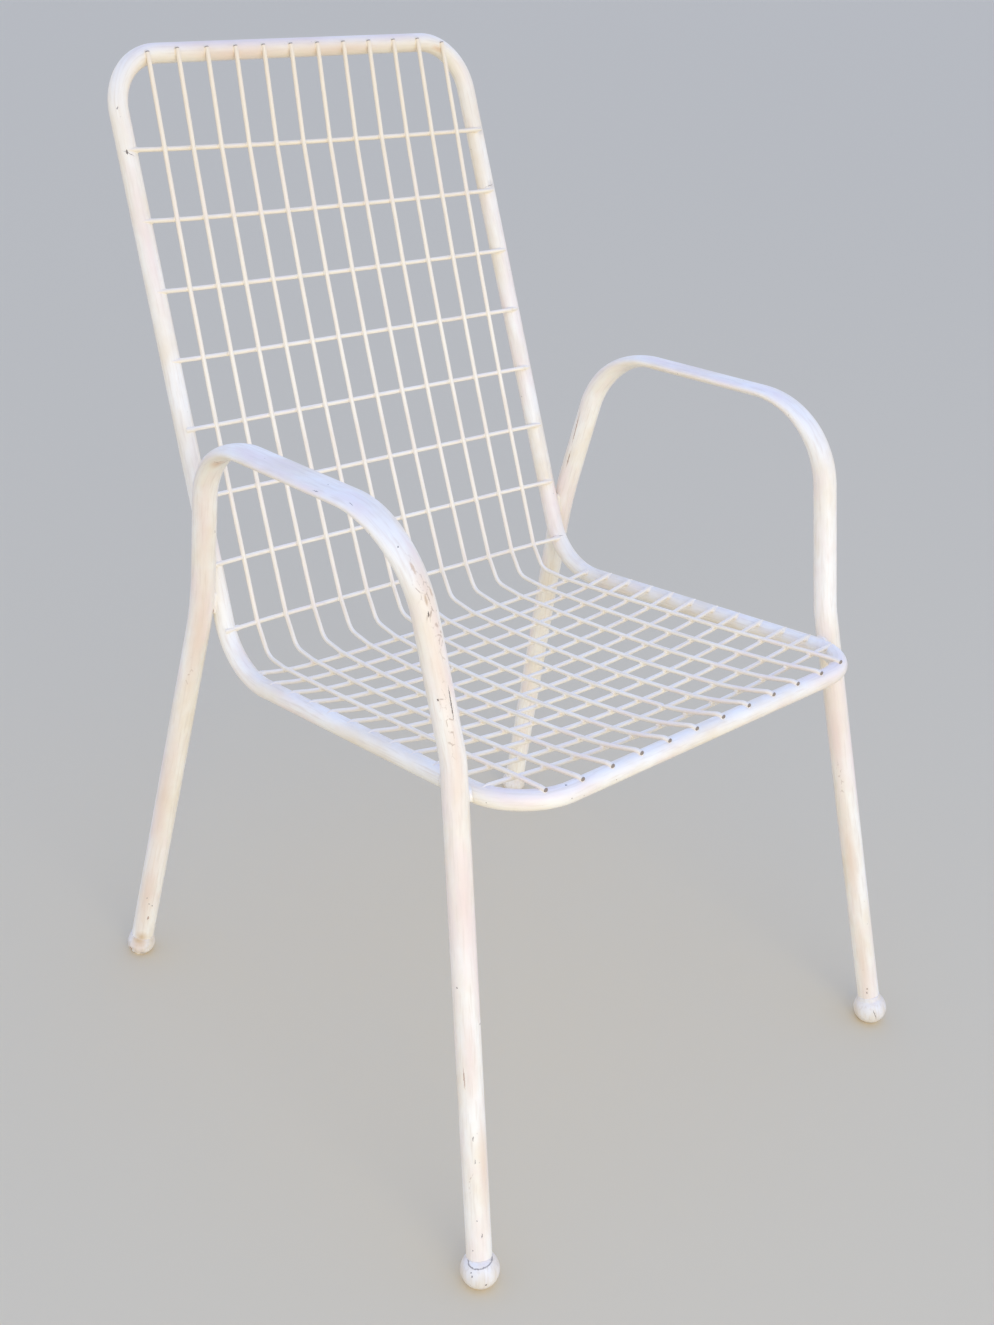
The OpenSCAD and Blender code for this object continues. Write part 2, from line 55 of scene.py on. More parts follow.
FRONT_CORNER_R, TOP_CORNER_R, BEND_R = 57 * MM, 51 * MM, 65 * MM
FRONT_H = 411 * MM
SEAM_SETBACK, SEAM_W = 86 * MM, 0.4 * MM
BACK_ANGLE = math.pi / 2 - BACK_LEAN + SEAT_SLOPE
# The CAD's tube has flat sides, and the round one stays inside them
INSIDE_FLATS = 0.16 * MM
PATH_STEP = 3 * MM

# The front rail's centre line lies half a tube behind the foremost point of the CAD's loop
FRONT_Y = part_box("seat_back_loop")[0].y + LOOP_R
seat_way = np.array([0, math.cos(SEAT_SLOPE), -math.sin(SEAT_SLOPE)])
seat_up = np.array([0, math.sin(SEAT_SLOPE), math.cos(SEAT_SLOPE)])
bend_corner = np.array([0, FRONT_Y, FRONT_H]) + SEAT_L * seat_way


def on_seat(x, d, rise):
    """Point in the seat's plane: d forward of the bend's corner, rise above the rails' centres."""
    return bend_corner + np.array([x, 0, 0]) - d * seat_way + rise * seat_up


def on_back(x, d, rise):
    """Point in the back's plane: d up from the bend's corner, rise in front of the rails' centres."""
    c, s = math.cos(BACK_ANGLE), math.sin(BACK_ANGLE)
    return bend_corner + np.array([x, 0, 0]) + (d * c - rise * s) * seat_way + (d * s + rise * c) * seat_up


def unit(v):
    return v / np.linalg.norm(v)


def bent_path(points, bends, gap):
    """Rows of place, direction and flatness along a line with rounded corners.

    Each bend is (radius, flatness before, flatness after); gap is the distance between rows."""
    points = [np.array(p, float) for p in points]
    rows = []

    def straight(a, b, flat):
        n = max(1, math.ceil(np.linalg.norm(b - a) / gap))
        rows.extend([*(a + (b - a) * k / n), *unit(b - a), flat] for k in range(n))

    here, flat = points[0], bends[0][1]
    for i, (r, before, after) in enumerate(bends, 1):
        p, q = unit(points[i - 1] - points[i]), unit(points[i + 1] - points[i])
        turn = math.acos(np.clip(-(p @ q), -1, 1))
        if turn < 1e-4:
            straight(here, points[i], before)
            here, flat = points[i], after
            continue
        start = points[i] + p * r * math.tan(turn / 2)
        centre = points[i] + unit(p + q) * r / math.cos(turn / 2)
        u = unit(start - centre)
        straight(here, start, before)
        n = max(3, math.ceil(r * turn / gap))
        for k in range(n):
            s = turn * k / n
            ease = (1 - math.cos(math.pi * k / n)) / 2
            place = centre + r * (u * math.cos(s) - p * math.sin(s))
            rows.append([*place, *(-p * math.cos(s) - u * math.sin(s)), before + (after - before) * ease])
        here, flat = points[i] + q * r * math.tan(turn / 2), after
    straight(here, points[-1], flat)
    rows.append([*points[-1], *unit(points[-1] - here), flat])
    return np.array(rows)


def cross_axes(path, first):
    """A cross axis for each row of a path, carried along from the first with no twist."""
    axes, v = [], np.array(first, float)
    for row in path:
        v = unit(v - (v @ row[3:6]) * row[3:6])
        axes.append(v)
    return np.array(axes)


def distance_along(places):
    return np.concatenate([[0], np.cumsum(np.linalg.norm(np.diff(places, axis=0), axis=1))])


def skinned(mesh, skin):
    """Stores where each point lies on the same tube or cap laid out straight, for its paint."""
    store = mesh.attributes.new("skin", "FLOAT_VECTOR", "POINT")
    store.data.foreach_set("vector", np.array(skin, float).ravel())
    mesh.shade_smooth()
    mesh.set_sharp_from_angle(angle=math.radians(50))
    return mesh


def stacked_rings(name, points, skin, count, sides):
    """A closed mesh through rings of points, with a flat face on the first ring and on the last."""
    faces = []
    for i in range(count - 1):
        for k in range(sides):
            m = (k + 1) % sides
            faces.append([i * sides + k, i * sides + m, (i + 1) * sides + m, (i + 1) * sides + k])
    last = (count - 1) * sides
    faces += [list(range(sides - 1, -1, -1)), [last + k for k in range(sides)]]
    mesh = bpy.data.meshes.new(name)
    mesh.from_pydata([list(p) for p in points], [], faces)
    return skinned(mesh, skin)


def tube_mesh(name, path, first, wide, thick, sides):
    """Tube along a path, with half sizes wide and thick for each row, and both ends bored out."""
    axis_a = cross_axes(path, first)
    axis_b = np.cross(path[:, 3:6], axis_a)
    along = distance_along(path[:, :3])
    t = 2 * math.pi * np.arange(sides) / sides
    n = len(path) - 1
    # Each ring: row of the path, shift along the tube, how much smaller than the outside
    rings = [(0, BORE_DEPTH, WALL), (0, LIP, WALL), (0, 0, WALL - LIP), (0, 0, LIP), (0, LIP, 0)]
    rings += [(i, 0, 0) for i in range(1, n)]
    rings += [(n, -LIP, 0), (n, 0, LIP), (n, 0, WALL - LIP), (n, -LIP, WALL), (n, -BORE_DEPTH, WALL)]
    points, skin = [], []
    for i, shift, less in rings:
        a, b = wide[i] - less, thick[i] - less
        points.append(path[i, :3] + shift * path[i, 3:6]
                      + np.outer(a * np.cos(t), axis_a[i]) + np.outer(b * np.sin(t), axis_b[i]))
        skin.append(np.column_stack([a * np.cos(t), b * np.sin(t), np.full(sides, along[i] + shift)]))
    return stacked_rings(name, np.concatenate(points), np.concatenate(skin), len(rings), sides)


def piece(name, mesh, slot, material, *replaced):
    """Makes an object that stands for CAD nodes, rides on the chair and takes the given material. The slot is
    not used.
    """
    made = bpy.data.objects.new(name, mesh)
    bpy.context.scene.collection.objects.link(made)
    mesh.materials.clear()
    mesh.materials.append(material)
    if replaced:
        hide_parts(*replaced)
    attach(made, "root")
    return made


def linear(hex_colour):
    """An sRGB hex colour as the linear RGBA that a shader takes."""
    parts = [int(hex_colour[i:i + 2], 16) / 255 for i in (1, 3, 5)]
    return tuple(c / 12.92 if c <= 0.04045 else ((c + 0.055) / 1.055) ** 2.4 for c in parts) + (1,)


def add(tree, kind, inputs=None, **settings):
    """Adds a node with its settings; an input is a value, or another node's output to link."""
    made = tree.nodes.new(kind)
    for key, value in settings.items():
        setattr(made, key, value)
    for key, value in (inputs or {}).items():
        socket = made.inputs[key]
        if isinstance(key, str):
            # A mix node has a set of sockets for each kind of value, and only one set is enabled
            socket = next(s for s in made.inputs if s.name == key and s.enabled)
        if isinstance(value, bpy.types.NodeSocket):
            tree.links.new(value, socket)
        else:
            socket.default_value = value
    return made


def mottle(tree, place, size_mm, stretch=1.0, detail=3.0):
    """Noise of a size in mm, drawn out along the tube by a stretch."""
    drawn = add(tree, "ShaderNodeMapping", {"Vector": place, "Scale": (1, 1, 1 / stretch)}).outputs[0]
    return add(tree, "ShaderNodeTexNoise", {
        "Vector": drawn, "Scale": 1 / (size_mm * MM), "Detail": detail, "Roughness": 0.6}).outputs[0]


# Blemishes: colour, how much of it, and how soft its edge is
BLEMISHES = {
    "chip": ("#4a3d34", 0.9, 0.35), "crack": ("#7d7067", 0.85, 0.5), "rust": ("#9a6543", 0.75, 0.6),
    "grime": ("#cda970", 0.65, 0.9), "rim": ("#8d8580", 0.9, 0.6), "stain": ("#dcae78", 0.6, 0.95),
    "dull": ("#b9b1aa", 0.5, 0.8), "peel": ("#cdb08f", 0.7, 0.5), "beige": ("#ead1b9", 0.7, 0.95),
    "pink": ("#ecd3c6", 0.55, 0.95), "flaking": ("#b39a82", 0.6, 0.4)}
# A mix node has an output for each kind of value, and this is the one for colours
COLOUR_OUT = 2
FRAY_GRAIN, FRAY_REACH, MARK_DEPTH = 1.6 * MM, 1.8 * MM, 5 * MM
SPECK_CELL, FLAKE_CELL, BRUSH_MM = 12 * MM, 5 * MM, 2.2


def brushed_enamel(name, fresh, cream, rosy, drag, marks=(), size_mm=45, yellow=0.0, rust_and_shade_tip_mm=0.0):
    """Oil enamel, brushed on in several coats. It has a soft gloss with brush drag along the tube, faint
    cream and rosy patches of age about size_mm wide, pinholes, and the marks of the one in the picture."""
    material = bpy.data.materials.new(name)
    material.use_nodes = True
    tree = material.node_tree
    tree.nodes.clear()
    skin = add(tree, "ShaderNodeAttribute", attribute_name="skin").outputs["Vector"]
    patches = mottle(tree, skin, size_mm, 1.8, 4.0)
    elsewhere = add(tree, "ShaderNodeMapping", {"Vector": skin, "Location": (0.3, 0.1, 0.7)}).outputs[0]
    blush = mottle(tree, elsewhere, size_mm * 0.7, 2.5)
    brush = mottle(tree, skin, BRUSH_MM, 14.0, 2.0)
    # Each layer over the fresh coat: its colour, whether it roughens the paint, and the shares whose
    # product says how much of it shows. A share: a value, where it starts, where it is full, and its most
    layers = [(cream, False, [(patches, 0.42, 0.66, 1.0)]), (rosy, False, [(blush, 0.5, 0.68, 0.8)]),
              (drag, False, [(brush, 0.5, 0.74, 0.6)])]
    if yellow:
        # The top of the chair has yellowed most
        place = add(tree, "ShaderNodeTexCoord").outputs["Object"]
        height = add(tree, "ShaderNodeSeparateXYZ", {0: place}).outputs["Z"]
        layers.append(("#efdcb8", False, [(height, 0.55, 0.85, yellow)]))
    # Pinholes and specks of dirt in the paint, about 1 mm across
    cells = add(tree, "ShaderNodeTexVoronoi", {"Vector": skin, "Scale": 1 / SPECK_CELL}).outputs
    chosen = add(tree, "ShaderNodeSeparateColor", {0: cells["Color"]}).outputs[0]
    layers.append(("#7a6a5c", True, [(cells["Distance"], 0.065, 0.02, 1.0), (chosen, 0.62, 0.8, 0.75)]))
    if rust_and_shade_tip_mm:
        # The shears left the ends bare, and they have rusted. The dark colour over the last mm is rust and
        # painted shade on the tip together
        from_end = add(tree, "ShaderNodeAttribute", attribute_name="from_end").outputs["Fac"]
        layers.append(("#5e4a3c", False, [(from_end, rust_and_shade_tip_mm * MM, 0.5 * rust_and_shade_tip_mm * MM, 0.8)]))
    # Flaking paint shows as broken crack lines, drawn out along the tube
    drawn = add(tree, "ShaderNodeMapping", {"Vector": skin, "Scale": (1, 1, 0.45)}).outputs[0]
    flakes = add(tree, "ShaderNodeTexVoronoi", {"Vector": drawn, "Scale": 1 / FLAKE_CELL},
                 feature="DISTANCE_TO_EDGE").outputs["Distance"]
    flaked = [(flakes, 0.07, 0.02, 1.0), (mottle(tree, skin, 5), 0.48, 0.58, 1.0)]
    # Each mark is an ellipsoid in the skin's straightened space, with a ragged edge
    fray = add(tree, "ShaderNodeTexNoise", {"Vector": skin, "Scale": 1 / FRAY_GRAIN, "Detail": 2.0}).outputs[1]
    fray = add(tree, "ShaderNodeVectorMath", {0: fray, 1: (0.5, 0.5, 0.5)}, operation="SUBTRACT").outputs[0]
    fray = add(tree, "ShaderNodeVectorMath", {0: fray, "Scale": FRAY_REACH}, operation="SCALE").outputs[0]
    ragged = add(tree, "ShaderNodeVectorMath", {0: skin, 1: fray}, operation="ADD").outputs[0]
    for kind, place, facing, tilt, (half_length, half_width) in marks:
        colour, most, softness = BLEMISHES[kind]
        local = add(tree, "ShaderNodeMapping", {
            "Vector": ragged, "Rotation": (math.radians(tilt), 0, math.radians(facing)),
            "Location": [c * MM for c in place],
            "Scale": (MARK_DEPTH, half_width * MM, half_length * MM)}, vector_type="TEXTURE").outputs[0]
        away = add(tree, "ShaderNodeVectorMath", {0: local}, operation="LENGTH").outputs["Value"]
        layers.append((colour, kind in ("chip", "crack", "peel", "flaking"), [
            (away, 1.0, 1 - softness, most), *(flaked if kind == "flaking" else ())]))
    coat, worn = linear(fresh), 0.0
    for colour, roughens, shares in layers:
        share = 1.0
        for value, start, full, most in shares:
            part = add(tree, "ShaderNodeMapRange", {
                "Value": value, "From Min": start, "From Max": full, "To Max": most}).outputs[0]
            share = add(tree, "ShaderNodeMath", {0: part, 1: share}, operation="MULTIPLY").outputs[0]
        coat = add(tree, "ShaderNodeMix", {"Factor": share, "A": coat, "B": linear(colour)},
                   data_type="RGBA").outputs[COLOUR_OUT]
        if roughens:
            worn = add(tree, "ShaderNodeMath", {0: share, 1: worn}, operation="MAXIMUM").outputs[0]
    roughness = add(tree, "ShaderNodeMapRange", {
        "Value": patches, "From Min": 0.3, "From Max": 0.7, "To Min": 0.3, "To Max": 0.48}).outputs[0]
    roughness = add(tree, "ShaderNodeMath", {0: worn, 1: 0.4, 2: roughness},
                    operation="MULTIPLY_ADD").outputs[0]
    bsdf = add(tree, "ShaderNodeBsdfPrincipled", {"IOR": 1.5, "Base Color": coat, "Roughness": roughness})
    relief = add(tree, "ShaderNodeMath", {0: brush, 1: worn}, operation="SUBTRACT").outputs[0]
    relief = add(tree, "ShaderNodeMath", {0: relief, 1: mottle(tree, skin, 9, 2.0)}, operation="ADD").outputs[0]
    bump = add(tree, "ShaderNodeBump", {"Height": relief, "Distance": 0.12 * MM, "Strength": 0.7}).outputs[0]
    tree.links.new(bump, bsdf.inputs["Normal"])
    add(tree, "ShaderNodeOutputMaterial", {"Surface": bsdf.outputs[0]})
    return material


FRAME_COLOURS = ("#faf5e8", "#f3e6ce", "#f5e4d8", "#e6d9c6")
# Each mark: kind, place in the straightened skin in mm, facing and tilt in degrees, and its half
# length and half width in mm
loop_marks = [
    ("chip", (7.7, 4.7, 1874.8), 32, 0, (2.6, 1.0)), ("crack", (6.3, 2.7, 1875.9), 27, 57, (6.9, 0.4)),
    ("crack", (5.2, -2.7, 1326.5), -27, -83, (6.9, 0.35)), ("dull", (7.5, 0, 1326.5), 0, 0, (6, 5)),
    ("dull", (7.5, 0, 1270), 0, 0, (7, 5)), ("crack", (6.5, -2, 1270), -17, -80, (6, 0.35)),
    ("stain", (6.8, -5.4, 1429.0), -41, 0, (11, 4)),
    ("pink", (6.9, 5.8, 1490), 40, 0, (60, 11)), ("beige", (7.6, -4.8, 1560), -32, 0, (90, 9)),
    ("pink", (6.9, 5.8, 1600), 40, 0, (80, 11)), ("pink", (6.9, 5.8, 1720), 40, 0, (80, 11)),
    ("beige", (7.6, -4.8, 1680), -32, 0, (80, 9)), ("crack", (7.3, 5.0, 1837.3), 36, -25, (1.6, 0.5)),
    ("pink", (8.4, 3, 1960), 20, 0, (70, 8)), ("crack", (6.4, -6.2, 895), -45, 76, (8.8, 0.4)),
    ("chip", (8.8, 1.9, 110.4), 14, 0, (0.9, 0.7))]
loop_paint = brushed_enamel("brushed_enamel_on_loop", *FRAME_COLOURS, loop_marks, yellow=0.3)


def rail_half(d, far_w, length):
    """Half the distance between the rails, d from the bend's corner towards an end of width far_w."""
    return (BEND_W + (far_w - BEND_W) * d / length) / 2


seam_d = SEAT_L - SEAM_SETBACK
right = [on_seat(FRONT_W / 2, SEAT_L, 0), on_seat(BEND_W / 2, 0, 0), on_back(TOP_W / 2, BACK_L, 0)]
left = [p * [-1, 1, 1] for p in right]
loop_ends = [on_seat(-rail_half(seam_d + s, FRONT_W, SEAT_L), seam_d + s, 0)
             for s in (SEAM_W / 2, -SEAM_W / 2)]
loop_path = bent_path(
    [loop_ends[0], left[0], *right, left[2], left[1], loop_ends[1]],
    [(r, 0, 0) for r in (FRONT_CORNER_R, FRONT_CORNER_R, BEND_R, TOP_CORNER_R, TOP_CORNER_R, BEND_R)],
    PATH_STEP)
loop_half = np.full(len(loop_path), LOOP_R - INSIDE_FLATS)
piece("seat_back_loop_tube", tube_mesh("seat_back_loop_tube", loop_path, seat_up, loop_half, loop_half, 40),
      "frame_paint", loop_paint, "seat_back_loop")

# ---------------------------------------------------------------------------------------------
# Loop joint sleeve: a short tube inside the seam that holds the loop's two ends in line. It is bare
# drawn steel, scored along its length by the die, and only shows through the seam.
# ---------------------------------------------------------------------------------------------
bare_steel = bpy.data.materials.new("bare_drawn_steel")
bare_steel.use_nodes = True
steel_tree = bare_steel.node_tree
steel_tree.nodes.clear()
steel_place = add(steel_tree, "ShaderNodeTexCoord").outputs["Object"]
score = add(steel_tree, "ShaderNodeTexNoise", {
    "Vector": add(steel_tree, "ShaderNodeMapping", {"Vector": steel_place, "Scale": (1, 0.05, 1)}).outputs[0],
    "Scale": 1 / (0.8 * MM), "Detail": 2.0}).outputs[0]
tarnish = add(steel_tree, "ShaderNodeTexNoise", {
    "Vector": steel_place, "Scale": 1 / (8 * MM), "Detail": 4.0}).outputs[0]
tarnish = add(steel_tree, "ShaderNodeMapRange", {
    "Value": tarnish, "From Min": 0.45, "From Max": 0.7}).outputs[0]
steel = add(steel_tree, "ShaderNodeBsdfPrincipled", {
    "Metallic": 1.0,
    "Base Color": add(steel_tree, "ShaderNodeMix", {
        "Factor": tarnish, "A": linear("#8f8a84"), "B": linear("#6e4f3a")},
        data_type="RGBA").outputs[COLOUR_OUT],
    "Roughness": add(steel_tree, "ShaderNodeMapRange", {
        "Value": score, "From Min": -1.0, "From Max": 2.0}).outputs[0],
    "Normal": add(steel_tree, "ShaderNodeBump", {"Height": score, "Distance": 0.03 * MM}).outputs[0]})
add(steel_tree, "ShaderNodeOutputMaterial", {"Surface": steel.outputs[0]})
for sleeve_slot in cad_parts["loop_joint_sleeve"].material_slots:
    sleeve_slot.material = bare_steel

# ---------------------------------------------------------------------------------------------
# Side tubes: each is one bent 22 mm tube that makes rear leg, armrest and front leg. The armrest
# is pressed flat and wide, and the tube is welded to the loop at the back and near the front.
# ---------------------------------------------------------------------------------------------
FRONT_LEAN, REAR_LEAN = math.radians(18.4), math.radians(5.7)
ARM_FRONT_R, ARM_REAR_R, FRONT_KINK_R, REAR_KINK_R = 92 * MM, 78 * MM, 84 * MM, 400 * MM
ARM_W, ARM_T = 30 * MM, 11.4 * MM
FRONT_CAP_R, REAR_CAP_R, CAP_FLAT_R, CAP_SOCKET = 16.75 * MM, 13.75 * MM, 9 * MM, 3 * MM
TOUCH_GAP = 0.1 * MM
FRONT_WELD_SETBACK, REAR_WELD_UP, KINK_RISE = 53 * MM, 71 * MM, 31 * MM
# Each foot and arm bend: how far from the middle, and for the arm how high
REAR_FOOT_X, FRONT_FOOT_X = 268 * MM, 281.5 * MM
ARM_REAR_X, ARM_REAR_H, ARM_FRONT_X, ARM_FRONT_H = 251.5 * MM, 585 * MM, 261 * MM, 616 * MM


def ball_h(cap_r):
    """Height of a foot cap's centre, from which its ball is cut flat at the ground."""
    return math.sqrt(cap_r ** 2 - CAP_FLAT_R ** 2)


def apart(rail_way, tube_way):
    """Distance in X between the centres of a rail and a side tube that touch."""
    square = np.cross(rail_way, tube_way)
    return (LOOP_R + SIDE_R + TOUCH_GAP) * np.linalg.norm(square) / abs(square[0])


front_weld = on_seat(0, SEAT_L - FRONT_WELD_SETBACK, 0)
rear_weld = on_back(0, REAR_WELD_UP, 0)


def front_y(h):
    return front_weld[1] + (h - front_weld[2]) * math.tan(FRONT_LEAN)


def rear_y(h):
    return rear_weld[1] - (h - rear_weld[2]) * math.tan(REAR_LEAN)


back_way = unit(on_back(0, 1, 0) - bend_corner)
rear_foot = np.array([REAR_FOOT_X, rear_y(ball_h(REAR_CAP_R)), ball_h(REAR_CAP_R)])
front_foot = np.array([FRONT_FOOT_X, front_y(ball_h(FRONT_CAP_R)), ball_h(FRONT_CAP_R)])
arm_rear = np.array([ARM_REAR_X, rear_y(ARM_REAR_H), ARM_REAR_H])
arm_front = np.array([ARM_FRONT_X, front_y(ARM_FRONT_H), ARM_FRONT_H])
# At the rear the slight bend touches the rail
rear_post_way = np.array([0, -math.sin(REAR_LEAN), math.cos(REAR_LEAN)])
rear_rail_way = unit(back_way - np.array([(BEND_W - TOP_W) / 2 / BACK_L, 0, 0]))
rear_rail_x = rail_half(REAR_WELD_UP, TOP_W, BACK_L)
rear_touch_x = rear_rail_x + apart(rear_rail_way, rear_post_way)
rear_turn = (math.atan((arm_rear[0] - rear_touch_x) / (arm_rear[2] - rear_weld[2]))
             + math.atan((rear_foot[0] - rear_touch_x) / (rear_weld[2] - rear_foot[2])))
rear_kink = np.array([rear_touch_x - REAR_KINK_R * (1 / math.cos(rear_turn / 2) - 1), *rear_weld[1:]])
# At the front the leg touches the rail where its corner begins, below the slight bend
splay = math.atan((FRONT_W - BEND_W) / 2 / SEAT_L)
front_reach = FRONT_CORNER_R * math.tan((math.pi / 2 + splay) / 2)
into_corner = FRONT_CORNER_R - FRONT_WELD_SETBACK
front_rail_x = min(rail_half(SEAT_L - FRONT_WELD_SETBACK, FRONT_W, SEAT_L),
                   FRONT_W / 2 - front_reach + math.sqrt(FRONT_CORNER_R ** 2 - into_corner ** 2))
front_rail_way = unit(seat_way + np.array([into_corner / FRONT_CORNER_R - math.tan(splay), 0, 0]))
leg_splay = (front_foot[0] - front_rail_x - LOOP_R - SIDE_R) / (front_weld[2] - front_foot[2])
front_leg_way = unit(np.array(
    [-leg_splay * math.cos(FRONT_LEAN), math.sin(FRONT_LEAN), math.cos(FRONT_LEAN)]))
front_touch_x = front_rail_x + apart(front_rail_way, front_leg_way)
front_kink = np.array([
    front_touch_x - (front_foot[0] - front_touch_x) * KINK_RISE / (front_weld[2] - front_foot[2]),
    front_y(front_weld[2] + KINK_RISE), front_weld[2] + KINK_RISE])
side_points = [rear_foot - CAP_SOCKET * unit(rear_kink - rear_foot), rear_kink, arm_rear, arm_front,
               front_kink, front_foot - CAP_SOCKET * unit(front_kink - front_foot)]
side_marks = {"left": [
    ("crack", (-12.8, 2.9, 736.8), 121, 6, (4.2, 0.4)), ("crack", (-9.4, 4.6, 776.9), 109, -8, (2.9, 0.4)),
    ("chip", (-5.2, 8.0, 828.4), 104, 0, (0.9, 0.8)), ("stain", (-8.4, -5.9, 584.0), -113, 0, (14, 6)),
    ("flaking", (-7.0, -6.0, 593), -105, 0, (13, 8)), ("flaking", (-7.5, -8.0, 341.6), -135, 0, (24, 4)),
    ("flaking", (-9.6, 5.3, 1359.1), 151, 0, (16, 4)), ("crack", (4.5, -10.0, 489.1), -70, 2, (2.1, 0.5)),
    ("beige", (0, 10.6, 862), 92, 0, (34, 9)), ("beige", (-3.5, 10.4, 925), 110, 2, (55, 10)),
    ("beige", (-3.5, 10.4, 1000), 110, -2, (60, 9)), ("pink", (1.5, 10.8, 893), 80, 0, (24, 5.5)),
    ("pink", (3, 10.4, 935), 75, 4, (20, 4)), ("pink", (5, 9.4, 835), 65, 0, (22, 6)),
    ("flaking", (-3, 10, 862), 104, 0, (30, 7)), ("flaking", (2, 10.8, 890), 80, 0, (36, 6)),
    ("flaking", (-4, 10.2, 965), 110, 0, (40, 7)),
    ("peel", (-3.1, 9.5, 846.2), 100, 0, (6.0, 1.6)), ("peel", (-2.9, 10.4, 869.7), 102, -4, (5.2, 1.5)),
    ("peel", (3.9, 10.0, 866.0), 71, 0, (4.5, 1.3)), ("chip", (-3.9, 10.2, 879.8), 110, -6, (2.5, 0.6)),
    ("chip", (0.3, 11.0, 953.2), 90, -2, (15.6, 0.6)), ("chip", (-8.4, 7.1, 948.0), 143, 0, (1.3, 0.9)),
    ("chip", (-10.6, 2.8, 1190.5), 168, 0, (1.0, 0.7)), ("chip", (5.9, 9.3, 1224.9), 61, 0, (0.9, 0.7)),
    ("rust", (-9.9, 4.8, 1268.7), 155, 2, (10.9, 0.8)), ("crack", (-6.9, 8.6, 1322.1), 127, -3, (2.7, 0.5)),
    ("crack", (-6.3, 9.0, 1342.7), 127, -3, (2.7, 0.5)), ("crack", (-4.0, 10.2, 1410.3), 110, -3, (2.7, 0.5)),
    ("chip", (-7.1, 8.4, 1396.1), 127, 0, (0.8, 0.5)), ("chip", (-10.0, 4.6, 1424.0), 151, 0, (1.0, 0.5)),
    ("beige", (-6.1, -9.2, 375.0), -124, 0, (90, 11)), ("beige", (-9.6, -5.3, 200), -151, 0, (110, 12)),
    ("beige", (-9.0, -6.4, 70), -143, 0, (70, 12)), ("pink", (-6.6, -8.8, 500), -127, 0, (70, 10)),
    ("grime", (-7.5, -8.0, 17), -135, 0, (8, 8)), ("rust", (-5.0, -9.8, 42.5), -119, 0, (3.0, 1.0)),
    ("chip", (-6.3, -9.0, 60.8), -127, 0, (0.8, 0.7)), ("chip", (-8.5, -6.9, 67.8), -143, 0, (1.0, 0.6)),
    ("chip", (-3.3, -10.5, 58.1), -110, 0, (0.8, 0.6)), ("pink", (-4, 10, 1120), 112, 0, (60, 9)),
    ("pink", (-6, 9, 1250), 124, 0, (54, 8)), ("beige", (1, 10.8, 1350), 85, 0, (60, 6))],
    "right": [
        ("rust", (-10.8, 1.4, 493.6), 172, 3, (22.8, 0.8)),
        ("rust", (-10.9, -0.9, 458.2), -176, 1, (10.6, 0.8)), ("flaking", (-10.7, 2.3, 1179.8), 168, 0, (24, 4)),
        ("chip", (-9.4, 5.6, 1418.6), 151, 0, (1.0, 0.8)), ("chip", (-9.7, 5.2, 1423.4), 151, 0, (1.6, 0.8)),
        ("chip", (-10.3, 3.9, 1396.0), 160, 0, (0.8, 0.5)), ("beige", (-10.1, 4.2, 1268.7), 160, 0, (80, 8)),
        ("pink", (-10.1, 4.2, 1130), 160, 0, (70, 8)), ("beige", (-10.1, 4.2, 1390), 160, 0, (60, 8))]}
for side, sign in (("left", -1), ("right", 1)):
    path = bent_path(
        [p * [sign, 1, 1] for p in side_points],
        [(REAR_KINK_R, 0, 0), (ARM_REAR_R, 0, 1), (ARM_FRONT_R, 1, 0), (FRONT_KINK_R, 0, 0)], PATH_STEP)
    wide = SIDE_R + (ARM_W / 2 - SIDE_R) * path[:, 6]
    thick = SIDE_R + (ARM_T / 2 - SIDE_R) * path[:, 6]
    name = f"{side}_side_tube_painted"
    side_paint = brushed_enamel(f"brushed_enamel_on_{side}_tube", *FRAME_COLOURS, side_marks[side])
    piece(name, tube_mesh(name, path, (1, 0, 0), wide, thick, 44), "frame_paint", side_paint,
          f"{side}_side_tube")

# ---------------------------------------------------------------------------------------------
# Frame welds: a bead of weld metal fills the groove where each side tube crosses the loop. The
# paint has rounded every bead into a smooth saddle between the two tubes.
# ---------------------------------------------------------------------------------------------
BEAD_GAP, BEAD_START, BEAD_REACH, BEAD_SUNK = 3.4 * MM, 2 * MM, 10.5 * MM, 0.15 * MM
BEAD_HOLLOW = 0.22


def nearest(p, p_way, q, q_way):
    """The point of one line that is nearest to another line."""
    b, w = p_way @ q_way, p - q
    return p + p_way * (b * (q_way @ w) - p_way @ w) / (1 - b * b)


